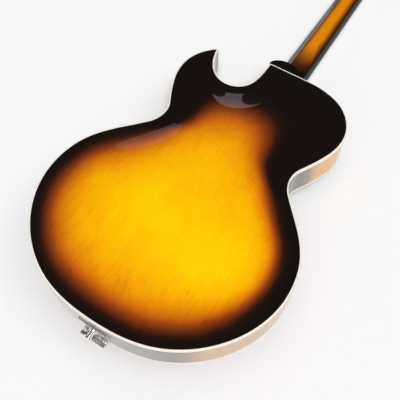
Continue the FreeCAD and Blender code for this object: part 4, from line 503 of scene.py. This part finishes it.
def in_place(points):
    """Body points, z from the front edge to the back edge, moved to the shared frame.

    The body is tilted by the pitch about X, and its tail at the back edge stands where
    the binding's box says."""
    s = sizes()
    low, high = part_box("back_binding")
    c, sine = math.cos(s.pitch), math.sin(s.pitch)
    tail = np.array((0, low.y + s.binding_height * sine, high.z))
    axes = np.array(((1, 0, 0), (0, c, -sine), (0, sine, c)))
    return tail + (np.asarray(points) - (0, 0, s.rim_depth)) @ axes


def outward(points, faces):
    """Faces, turned round if the signed volume that they close is negative."""
    volume = 0.0
    for face in faces:
        for corner in range(1, face.shape[1] - 1):
            a, b, c = points[face[:, 0]], points[face[:, corner]], points[face[:, corner + 1]]
            volume += (a * np.cross(b, c)).sum()
    return faces if volume > 0 else [face[:, ::-1] for face in faces]


def new_piece(name, points, faces, attributes=(), sharp=40):
    """A mesh object of points and lists of equal-sided faces, smooth but for edges over an
    angle in degrees."""
    faces = outward(points, faces)
    mesh = bpy.data.meshes.new(name)
    mesh.from_pydata(points.tolist(), [], [f for face in faces for f in face.tolist()])
    for key, values in attributes:
        mesh.attributes.new(key, "FLOAT", "POINT").data.foreach_set(
            "value", np.asarray(values, np.float32))
    mesh.shade_smooth()
    mesh.set_sharp_from_angle(angle=math.radians(sharp))
    mesh.update()
    piece = bpy.data.objects.new(name, mesh)
    bpy.context.scene.collection.objects.link(piece)
    return piece


def plate_piece(name, flat, triangles, outer, inner, attributes):
    """A closed sheet: the outer face, the same plan as the inner face, and a wall along
    every edge that only one triangle has."""
    count = len(flat)
    points = np.concatenate((np.column_stack((flat, outer)), np.column_stack((flat, inner))))
    sides = np.concatenate((triangles[:, :2], triangles[:, 1:], triangles[:, ::2][:, ::-1]))
    key = np.sort(sides, 1) @ (count, 1)
    _, first, times = np.unique(key, return_index=True, return_counts=True)
    rim = sides[first[times == 1]]
    wall = np.column_stack((rim[:, 1], rim[:, 0], rim[:, 0] + count, rim[:, 1] + count))
    doubled = [(key, np.concatenate((values, values))) for key, values in attributes]
    return new_piece(name, in_place(points), [triangles, triangles[:, ::-1] + count, wall],
                     doubled)


def band_piece(name, loop, inward, profile, attributes):
    """A closed profile of inset and height, carried round the closed loop."""
    inset, height = np.asarray(profile).T
    count, steps = len(loop), len(inset)
    flat = loop[:, None] + inward[:, None] * inset[None, :, None]
    points = np.concatenate((flat, np.broadcast_to(height[None, :, None],
                                                   (count, steps, 1))), -1)
    index = np.arange(count * steps).reshape(count, steps)
    after = np.roll(index, -1, 0)
    quads = np.stack((index, np.roll(index, -1, 1), np.roll(after, -1, 1), after), -1)
    shared = [(key, np.repeat(values, steps)) for key, values in attributes]
    return new_piece(name, in_place(points.reshape(-1, 3)), [quads.reshape(-1, 4)], shared)


# Finishes

class Paint:
    """A node material that is put together step by step round one Principled shader."""

    def __init__(self, name, **sockets):
        self.material = bpy.data.materials.new(name)
        self.material.use_nodes = True
        self.tree = self.material.node_tree
        self.shader = self.tree.nodes["Principled BSDF"]
        for key, value in sockets.items():
            self.shader.inputs[key.replace("_", " ")].default_value = value

    def node(self, kind, links=(), **settings):
        """A node with its settings and its linked inputs."""
        made = self.tree.nodes.new(kind)
        for key, value in settings.items():
            setattr(made, key, value)
        for key, value in links:
            if isinstance(value, bpy.types.NodeSocket):
                self.tree.links.new(value, made.inputs[key])
            else:
                made.inputs[key].default_value = value
        return made

    def place(self, scale=(1, 1, 1), turn=(0, 0, 0)):
        """Object coordinates, stretched and turned."""
        source = self.node("ShaderNodeTexCoord").outputs["Object"]
        return self.node("ShaderNodeMapping", (
            ("Vector", source), ("Scale", scale), ("Rotation", turn))).outputs[0]

    def noise(self, vector, scale, detail=3.0, roughness=0.55, distortion=0.0):
        return self.node("ShaderNodeTexNoise", (
            ("Vector", vector), ("Scale", scale), ("Detail", detail),
            ("Roughness", roughness), ("Distortion", distortion))).outputs[0]

    def spread(self, value, low, high, to_low, to_high):
        """A value carried from one span to another and held at its ends."""
        return self.node("ShaderNodeMapRange", (
            ("Value", value), ("From Min", low), ("From Max", high), ("To Min", to_low),
            ("To Max", to_high))).outputs[0]

    def math(self, operation, first, second=0.0):
        return self.node("ShaderNodeMath", ((0, first), (1, second)),
                         operation=operation).outputs[0]

    def ramp(self, value, stops):
        """Colours between stops of place and linear colour."""
        made = self.node("ShaderNodeValToRGB", (("Fac", value),))
        elements = made.color_ramp.elements
        while len(elements) < len(stops):
            elements.new(0.5)
        for element, (at, colour) in zip(elements, stops):
            element.position = at
            element.color = colour
        return made.outputs[0]

    def tint(self, colour, shade):
        """One colour multiplied by another."""
        factor, first, second, result = 0, 6, 7, 2
        return self.node("ShaderNodeMix", ((factor, 1.0), (first, colour), (second, shade)),
                         data_type="RGBA", blend_type="MULTIPLY").outputs[result]

    def grey(self, value):
        return self.node("ShaderNodeCombineColor", (
            ("Red", value), ("Green", value), ("Blue", value))).outputs[0]

    def finish(self, colour, rough, height, strength, distance=0.0005):
        """Link the colour, roughness and height that were made to the shader."""
        bump = self.node("ShaderNodeBump", (
            ("Height", height), ("Strength", strength), ("Distance", distance)))
        for key, value in (("Base Color", colour), ("Roughness", rough),
                           ("Normal", bump.outputs[0])):
            self.tree.links.new(value, self.shader.inputs[key])
        return self.material


CLEAR_COAT = {"Coat_Weight": 1.0, "Coat_Roughness": 0.02, "Coat_IOR": 1.5,
              "Specular_IOR_Level": 0.0}


def burst_stops(table):
    """Stops of a burst's table over its span, in linear colours."""
    return [(at / BURST_SPAN, rgba(colour)) for at, colour in table]


def lacquer(name, table, flame):
    """Clear lacquer over a sprayed burst: a ramp over the piece's own burst attribute, moved
    by clouds and grain, more where the burst is bright, with dark flecks in patches."""
    paint = Paint(name, **CLEAR_COAT)
    burst = paint.node("ShaderNodeAttribute", attribute_name="burst").outputs["Fac"]
    cloud = paint.noise(paint.place((1.6, 1.0, 1.6)), scale=16.0, detail=4.0, roughness=0.6,
                        distortion=0.6)
    grain = paint.noise(paint.place((9, 0.45, 9), (0, 0, 0.1)), scale=45.0, detail=5.0,
                        roughness=0.65)
    drift = paint.math("ADD", paint.spread(cloud, 0.25, 0.75, -flame, flame),
                       paint.spread(grain, 0.3, 0.75, -flame, flame))
    drift = paint.math("MULTIPLY", drift, paint.spread(burst, 0.25, 0.9, 0.1, 2.1))
    fleck = paint.noise(paint.place((1.4, 0.8, 1.4), (0, 0, 0.6)), scale=120.0, detail=2.0,
                        roughness=0.5, distortion=0.4)
    patch = paint.noise(paint.place(), scale=13.0, detail=0.0)
    spot = paint.math("MULTIPLY", paint.spread(fleck, 0.64, 0.8, 0.0, 0.3),
                      paint.spread(patch, 0.54, 0.64, 0.0, 1.0))
    spot = paint.math("MULTIPLY", spot, paint.spread(burst, 0.4, 0.7, 0.0, 1.0))
    drift = paint.math("SUBTRACT", drift, spot)
    colour = paint.ramp(paint.math("ADD", burst, drift), burst_stops(table))
    rough = paint.spread(grain, 0.3, 0.7, 0.35, 0.5)
    swell = paint.noise(paint.place(), scale=45.0, detail=1.0)
    return paint.finish(colour, rough, swell, strength=0.03, distance=0.0004)


def wood(name, colour, coarse, depth, rough, along=(1, 0.06, 1)):
    """Bare or oiled wood: stretched noise for pores and growth lines along the grain."""
    paint = Paint(name)
    pores = paint.noise(paint.place(along), coarse, detail=6.0, roughness=0.65)
    lines = paint.noise(paint.place(along), coarse / 6, roughness=0.5, distortion=1.2)
    shade = paint.math("MULTIPLY", paint.spread(pores, 0.3, 0.7, 1 - depth, 1.08),
                       paint.spread(lines, 0.3, 0.7, 1 - depth, 1.1))
    toned = paint.tint(tuple(colour), paint.grey(shade))
    return paint.finish(toned, paint.spread(pores, 0.3, 0.7, rough + 0.1, rough - 0.08),
                        pores, strength=0.25, distance=0.0003)


def plated(name, colour, rough, wear):
    """Plated metal: faint clouds in colour and polish with fine rubbing marks."""
    paint = Paint(name, Metallic=1.0)
    cloud = paint.noise(paint.place(), scale=90.0)
    rub = paint.noise(paint.place((1, 14, 5)), scale=160.0, detail=4.0, roughness=0.7)
    toned = paint.tint(tuple(colour), paint.grey(paint.spread(cloud, 0.3, 0.7, 1 - wear, 1)))
    return paint.finish(toned, paint.spread(rub, 0.3, 0.75, rough, rough + 0.14), rub,
                        strength=0.04, distance=0.0001)


def plastic(name, colour, rough, mottle, **sockets):
    """Moulded or turned plastic: slight clouds in its colour and a handled gloss."""
    paint = Paint(name, **sockets)
    cloud = paint.noise(paint.place(), scale=70.0, detail=4.0, roughness=0.6)
    hand = paint.noise(paint.place(), scale=260.0)
    toned = paint.tint(tuple(colour), paint.grey(paint.spread(cloud, 0.3, 0.7, 1 - mottle, 1)))
    return paint.finish(toned, paint.spread(hand, 0.3, 0.7, rough, rough + 0.12), hand,
                        strength=0.05, distance=0.0001)


def braid(name, colour):
    """Woven braid: two crossed waves for colour and height."""
    paint = Paint(name, Metallic=0.4)
    waves = [paint.node("ShaderNodeTexWave", (
        ("Vector", paint.place(turn=(0, 0, turn))), ("Scale", 420.0),
        ("Distortion", 0.4))).outputs["Fac"] for turn in (0.8, -0.8)]
    weave = paint.math("MAXIMUM", *waves)
    toned = paint.tint(tuple(colour), paint.grey(paint.spread(weave, 0, 1, 0.45, 1.05)))
    return paint.finish(toned, paint.spread(weave, 0, 1, 0.7, 0.45), weave, strength=0.5,
                        distance=0.0004)


def pearl(name, colour):
    """Shell inlay: soft pink and green clouds over a pale ground."""
    paint = Paint(name, Coat_Weight=0.6, Coat_Roughness=0.05)
    cloud = paint.noise(paint.place(), scale=240.0, roughness=0.5, distortion=1.5)
    tone = paint.ramp(cloud, ((0.3, rgba((206, 222, 212))), (0.5, rgba((240, 238, 228))),
                              (0.7, rgba((234, 208, 214)))))
    rough = paint.spread(cloud, 0.3, 0.7, 0.2, 0.35)
    return paint.finish(paint.tint(tuple(colour), tone), rough, cloud, strength=0.05)


def neck_lacquer(name):
    """Lacquered neck: a burst across the shaft, amber along its middle, wider on the bass
    side, that darkens to the heel and the head, under grain along the neck."""
    paint = Paint(name, **CLEAR_COAT)
    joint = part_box("neck_block")[1].y
    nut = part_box("nut")[0].y
    place = paint.node("ShaderNodeSeparateXYZ", (("Vector", paint.place()),)).outputs
    half = paint.spread(place[1], joint, nut, *NECK_HALF_WIDTHS)
    aside = paint.math("DIVIDE", paint.math("ABSOLUTE", place[0]), half)
    bass_wide = paint.spread(place[0], -NECK_SIDES_MEET, NECK_SIDES_MEET, 1.0,
                             NECK_BASS_SHARE)
    across = paint.spread(paint.math("MULTIPLY", aside, bass_wide), *NECK_DARK_TO_AMBER,
                          0.0, 1.0)
    bow = paint.math("MULTIPLY", paint.math("MULTIPLY", aside, aside), HEEL_BOW)
    heel_dark, heel_amber = (joint + past for past in HEEL_DARK_TO_AMBER)
    heel = paint.spread(paint.math("SUBTRACT", place[1], bow), heel_dark, heel_amber, 0.0, 1.0)
    head_dark, head_amber = (nut - before for before in HEAD_DARK_TO_AMBER)
    head = paint.spread(place[1], head_dark, head_amber, 0.0, 1.0)
    open_wood = paint.math("MULTIPLY", paint.math("MINIMUM", heel, across), head)
    cloud = paint.noise(paint.place(), scale=30.0, detail=2.0)
    cloud = paint.spread(cloud, 0.25, 0.75, -0.04, 0.04)
    colour = paint.ramp(paint.math("ADD", open_wood, cloud), burst_stops(NECK_BURST))
    grain = paint.noise(paint.place((10, 0.5, 10)), scale=60.0, detail=4.0, roughness=0.6)
    colour = paint.tint(colour, paint.grey(paint.spread(grain, 0.3, 0.7, 0.8, 1.05)))
    return paint.finish(colour, paint.spread(grain, 0.3, 0.7, 0.3, 0.45), grain,
                        strength=0.02)


def cover(names, material):
    """Give CAD nodes a finish, in one material slot of their own."""
    for name in names:
        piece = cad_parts[name]
        piece.data.materials.clear()
        piece.data.materials.append(material)


# Sound holes

def sound_hole_loops(length=0.118, width=0.008, slant=14.0, eye=0.0075, nick=0.004):
    """Loops of the bass side hole about its middle: a band of constant width along an S of
    biarcs, a round eye at each end and a diamond nick across the middle."""
    upper = length / 2 * heading(90 + slant)
    start, middle = heading(90 + 3 * slant), heading(90 - slant)
    zero = np.zeros(2)
    step, eye_points = 0.002, 40
    runs = [biarc_run(-upper, start, zero, middle, step),
            biarc_run(zero, middle, upper, start, step)]
    line, ways = (np.concatenate(parts) for parts in zip(*runs))
    line, ways = np.vstack((line, upper)), np.vstack((ways, start))
    side = turned(ways, math.pi / 2) * width / 2
    band = np.concatenate((line - side, (line + side)[::-1]))
    round_angles = np.arange(eye_points) / eye_points * 2 * math.pi
    ring = eye * np.stack((np.cos(round_angles), np.sin(round_angles)), -1)
    across = turned(start, math.pi / 2) * (eye - width / 2)
    reach = width / 2 + nick
    diamond = np.array(((reach, 0), (0, nick), (-reach, 0), (0, -nick)))
    return [band, ring + upper - across, ring - upper + across, diamond]


class GUITAR_OT_plates(bpy.types.Operator):
    """Makes the arched back and front with their burst"""

    bl_idname = "guitar.plates"
    bl_label = "Arched plates"

    def execute(self, context):
        s = sizes()
        outline, inward = body_outline()
        loop = outline + inward * s.binding_width
        inner = wood("bare_maple_inside", colours().bare_wood, coarse=90.0, depth=0.25, rough=0.7)
        skin = lacquer("sunburst_lacquer", BACK_BURST, flame=0.09)
        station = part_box("bridge_base")
        middle = (station[0].y + station[1].y) / 2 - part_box("back_binding")[0].y
        holes = [one + (HOLE_ASIDE, middle + HOLE_PAST_BRIDGE) for one in sound_hole_loops()]
        holes += [one * (-1, 1) for one in holes]
        for name, node, level, sign, gaps in (
                ("arched_back", "back_plate", s.rim_depth, 1, ()),
                ("arched_front", "top_plate", 0.0, -1, holes)):
            flat, triangles = plan_mesh(loop, inward, gaps)
            rise = sign * s.arch * arch_share(flat, loop)
            depth = edge_distance(flat, loop)
            # the burst attribute carries the painted shade of the treble side
            burst = burst_depth_and_treble_shade(flat, depth)
            plate = plate_piece(name, flat, triangles, level + rise,
                                level + rise - sign * s.plate_thickness,
                                [("burst", burst * 1000 / BURST_SPAN)])
            plate.data.materials.append(skin)
            plate.data.materials.append(inner)
            index = np.zeros(len(plate.data.polygons), np.int32)
            index[len(triangles):] = 1
            plate.data.polygons.foreach_set("material_index", index)
            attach(plate, "guitar")
            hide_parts(node)
        return {"FINISHED"}


class GUITAR_OT_rims(bpy.types.Operator):
    """Makes the bent sides with their own burst and a painted reflection of the floor"""

    bl_idname = "guitar.rims"
    bl_label = "Bent sides"

    def execute(self, context):
        s = sizes()
        outline, inward = body_outline()
        rows = 9
        levels = np.linspace(s.binding_height, s.rim_depth - s.binding_height, rows)
        profile = [(0.0, z) for z in levels] + [(s.rim_thickness, z) for z in levels[::-1]]
        sides = band_piece("bent_sides", outline, inward, profile,
                           [("burst", rim_burst_and_reflection(outline) / BURST_SPAN)])
        sides.data.materials.append(lacquer("sunburst_rims", RIM_BURST_AND_REFLECTION, flame=0.08))
        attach(sides, "guitar")
        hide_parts("bass_side", "treble_side", "cutaway_side")
        return {"FINISHED"}


class GUITAR_OT_bindings(bpy.types.Operator):
    """Makes the cream bindings round both edges"""

    bl_idname = "guitar.bindings"
    bl_label = "Bindings"

    def execute(self, context):
        s = sizes()
        outline, inward = body_outline()
        cream = plastic("cream_binding", colours().binding, rough=0.22, mottle=0.05,
                        Coat_Weight=1.0, Coat_Roughness=0.03)
        corner_points = 5
        turn = np.linspace(0, math.pi / 2, corner_points)
        corner = s.binding_round * np.stack((1 - np.cos(turn), np.sin(turn) - 1), -1)
        tall, wide = s.binding_height, s.binding_width
        shape = [(0.0, 0.0), *(corner + (0, tall)).tolist(), (wide, tall), (wide, 0.0)]
        for name, node, level, sign in (
                ("back_edge_binding", "back_binding", s.rim_depth - tall, 1),
                ("front_edge_binding", "top_binding", tall, -1)):
            profile = [(inset, level + sign * height) for inset, height in shape]
            ring = band_piece(name, outline, inward, profile, ())
            ring.data.materials.append(cream)
            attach(ring, "guitar")
            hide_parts(node)
        cover(("fingerboard_binding",), cream)
        return {"FINISHED"}


class GUITAR_OT_neck(bpy.types.Operator):
    """Finishes the neck, fingerboard, bridge wood, markers and nut"""

    bl_idname = "guitar.neck"
    bl_label = "Neck and fingerboard"

    def execute(self, context):
        c = colours()
        cover(("neck",), neck_lacquer("sunburst_neck"))
        board = wood("oiled_rosewood", c.rosewood, coarse=150.0, depth=0.35, rough=0.42,
                     along=(1, 0.05, 1))
        cover(("fingerboard", "bridge_base", "bridge_saddle"), board)
        cover(("fret_markers",), pearl("shell_inlay", c.pearl))
        cover(("nut",), plastic("polished_bone", c.bone, rough=0.25, mottle=0.08))
        return {"FINISHED"}


class GUITAR_OT_metalwork(bpy.types.Operator):
    """Finishes the plated and steel fittings and the strings"""

    bl_idname = "guitar.metalwork"
    bl_label = "Metalwork"

    def execute(self, context):
        c = colours()
        tuners = ["tuner_%s_%d" % (kind, number) for kind in ("post", "key")
                  for number in range(1, 7)]
        cover(["pickup_covers", "tuner_housings", "tuner_bushings", "tailpiece_hanger",
               "tailpiece_pin", "tailpiece_trapeze", "strap_button", "bridge_wheel_bass",
               "bridge_wheel_treble", "bridge_posts", "jack_plate", "output_jack"] + tuners,
              plated("polished_nickel", c.nickel, rough=0.2, wear=0.12))
        cover(("strings", "frets", "wood_screws", "pole_screws", "truss_rod"),
              plated("bright_steel", c.steel, rough=0.2, wear=0.15))
        cover(("control_pots",), plated("pot_cans", c.steel, rough=0.35, wear=0.3))
        return {"FINISHED"}


class GUITAR_OT_fittings(bpy.types.Operator):
    """Finishes the plastic fittings, the inside wood and the leads"""

    bl_idname = "guitar.fittings"
    bl_label = "Fittings and inside"

    def execute(self, context):
        c = colours()
        cover(("pickup_rings", "pickguard", "headplate", "truss_rod_cover",
               "selector_switch"),
              plastic("black_plastic", c.black, rough=0.12, mottle=0.3))
        cover(["knob_" + name for name in ("neck_volume", "bridge_volume", "neck_tone",
                                           "bridge_tone")] + ["selector_lever"],
              plastic("amber_plastic", c.amber, rough=0.1, mottle=0.2, Coat_Weight=1.0,
                      Coat_Roughness=0.04))
        cover(("pickup_coils",), plastic("wound_coils", c.black, rough=0.5, mottle=0.4))
        cover(("linings", "tone_bars"),
              wood("bare_spruce", c.bare_wood, coarse=120.0, depth=0.18, rough=0.65))
        cover(("neck_block", "tail_block"),
              wood("bare_mahogany", c.mahogany, coarse=160.0, depth=0.3, rough=0.65))
        cover(("wiring_leads",), braid("braided_leads", c.braid))
        return {"FINISHED"}


class GUITAR_OT_stage(bpy.types.Operator):
    """Lays the paper floor and sets lights, world and camera"""

    bl_idname = "guitar.stage"
    bl_label = "Stage"

    def execute(self, context):
        scene = context.scene
        settings = scene.guitar_stage
        scene.view_settings.view_transform = "Standard"
        side = np.linspace(-FLOOR_REACH, FLOOR_REACH, 3)
        across, along = np.meshgrid(side, side)
        points = np.stack((across, along, np.zeros_like(across)), -1).reshape(-1, 3)
        index = np.arange(across.size).reshape(across.shape)
        quads = np.stack((index[:-1, :-1], index[:-1, 1:], index[1:, 1:], index[1:, :-1]), -1)
        floor = new_piece("paper_floor", points, [quads.reshape(-1, 4)])
        floor.data.materials.append(plastic("white_paper", settings.floor, rough=0.55,
                                            mottle=0.01, Specular_IOR_Level=0.2))
        scene.world = self.room(settings)
        for name, azimuth, rise, wide in SUNS:
            lamp = bpy.data.lights.new(name, "SUN")
            lamp.energy, lamp.angle = getattr(settings, name), math.radians(wide)
            self.hang(lamp, (0, 0, 0), azimuth, rise, SUN_DISTANCE)
        for name, power, share, spot, azimuth, rise, far, wide, tall in CARDS:
            lamp = bpy.data.lights.new(name, "AREA")
            lamp.shape = "RECTANGLE"
            lamp.size, lamp.size_y = wide, tall
            lamp.energy = share * getattr(settings, power)
            self.hang(lamp, spot, azimuth, rise, far)
        self.aim(scene, settings)
        return {"FINISHED"}

    def room(self, settings):
        """A world of even light. The camera and mirrored rays see a dim room instead, with
        a pale band over the floor's far edge."""
        world = bpy.data.worlds.new("room")
        world.use_nodes = True
        tree = world.node_tree
        back = tree.nodes["Background"]

        def ranged(value, *ends):
            step = tree.nodes.new("ShaderNodeMapRange")
            step.interpolation_type = "SMOOTHSTEP"
            tree.links.new(value, step.inputs["Value"])
            for socket, end in zip(step.inputs[1:5], ends):
                if isinstance(end, float):
                    socket.default_value = end
                else:
                    tree.links.new(end, socket)
            return step.outputs["Result"]

        def larger(first, second):
            step = tree.nodes.new("ShaderNodeMath")
            step.operation = "MAXIMUM"
            tree.links.new(first, step.inputs[0])
            tree.links.new(second, step.inputs[1])
            return step.outputs[0]

        ray = tree.nodes.new("ShaderNodeLightPath").outputs
        seen = larger(ray["Is Camera Ray"], larger(ray["Is Glossy Ray"],
                                                   ray["Is Transmission Ray"]))
        height = tree.nodes.new("ShaderNodeSeparateXYZ")
        tree.links.new(tree.nodes.new("ShaderNodeTexCoord").outputs["Generated"],
                       height.inputs[0])
        view = ranged(height.outputs["Z"], *HORIZON_FADES, settings.horizon, settings.dim)
        tree.links.new(ranged(seen, 0.0, 1.0, settings.sky, view), back.inputs["Strength"])
        back.inputs["Color"].default_value = (1, 1, 1, 1)
        return world

    def hang(self, lamp, spot, azimuth, rise, far):
        """A lamp that faces a spot of the body, far away from it at an azimuth from the neck
        towards the bass side and a rise over the back's edge, both in degrees. An area lamp
        is only mirrored, and lights no floor."""
        turn, lift = math.radians(azimuth), math.radians(rise)
        way = (math.sin(turn) * math.cos(lift), math.cos(turn) * math.cos(lift),
               math.sin(lift))
        zero, ahead, here = (Vector(p) for p in in_place(np.array(((0, 0, 0), way, spot))))
        ahead -= zero
        light = bpy.data.objects.new(lamp.name, lamp)
        light.location = here + ahead * far
        light.rotation_euler = ahead.to_track_quat("Z", "Y").to_euler()
        light.visible_camera = False
        light.visible_diffuse = lamp.type == "SUN"
        bpy.context.scene.collection.objects.link(light)

    def aim(self, scene, settings, place=(0.26462, -0.13987, 0.81197), heading_angle=33.145,
            drop=59.43):
        """The camera, placed and turned in the body's own axes."""
        turn, tilt = math.radians(heading_angle), math.radians(drop)
        right = np.array((math.cos(turn), math.sin(turn), 0))
        up = np.array((-math.sin(turn) * math.sin(tilt), math.cos(turn) * math.sin(tilt),
                       math.cos(tilt)))
        zero, *ends = in_place(np.array(((0, 0, 0), right, up, np.cross(right, up))))
        axes = [Vector(end - zero) for end in ends]
        matrix = Matrix((axes[0], axes[1], axes[2])).transposed().to_4x4()
        matrix.translation = Vector(in_place(np.array((place,)))[0])
        camera = bpy.data.objects.new("camera", bpy.data.cameras.new("camera"))
        camera.data.lens = settings.lens
        camera.data.sensor_width = 36.0
        camera.matrix_world = matrix
        scene.collection.objects.link(camera)
        scene.camera = camera


class GUITAR_PT_panel(bpy.types.Panel):
    """Lists the steps that dress the guitar"""

    bl_label = "Archtop guitar"
    bl_idname = "GUITAR_PT_panel"
    bl_space_type = "VIEW_3D"
    bl_region_type = "UI"
    bl_category = "Guitar"

    def draw(self, context):
        for step in STEPS:
            self.layout.operator(step.bl_idname)
        for group in (context.scene.guitar_sizes, context.scene.guitar_colours,
                      context.scene.guitar_stage):
            for key in group.__annotations__:
                self.layout.prop(group, key)


STEPS = (GUITAR_OT_plates, GUITAR_OT_rims, GUITAR_OT_bindings, GUITAR_OT_neck,
         GUITAR_OT_metalwork, GUITAR_OT_fittings, GUITAR_OT_stage)
GROUPS = (("guitar_sizes", BodySizes), ("guitar_colours", FinishColours),
          ("guitar_stage", StageSettings))


def register():
    for key, group in GROUPS:
        bpy.utils.register_class(group)
        setattr(bpy.types.Scene, key, bpy.props.PointerProperty(type=group))
    for made in STEPS + (GUITAR_PT_panel,):
        bpy.utils.register_class(made)


def unregister():
    for made in (GUITAR_PT_panel,) + STEPS[::-1]:
        bpy.utils.unregister_class(made)
    for key, group in GROUPS[::-1]:
        delattr(bpy.types.Scene, key)
        bpy.utils.unregister_class(group)


def main():
    """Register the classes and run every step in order."""
    register()
    for step in STEPS:
        area, name = step.bl_idname.split(".")
        getattr(getattr(bpy.ops, area), name)()


if __name__ == "__main__":
    main()
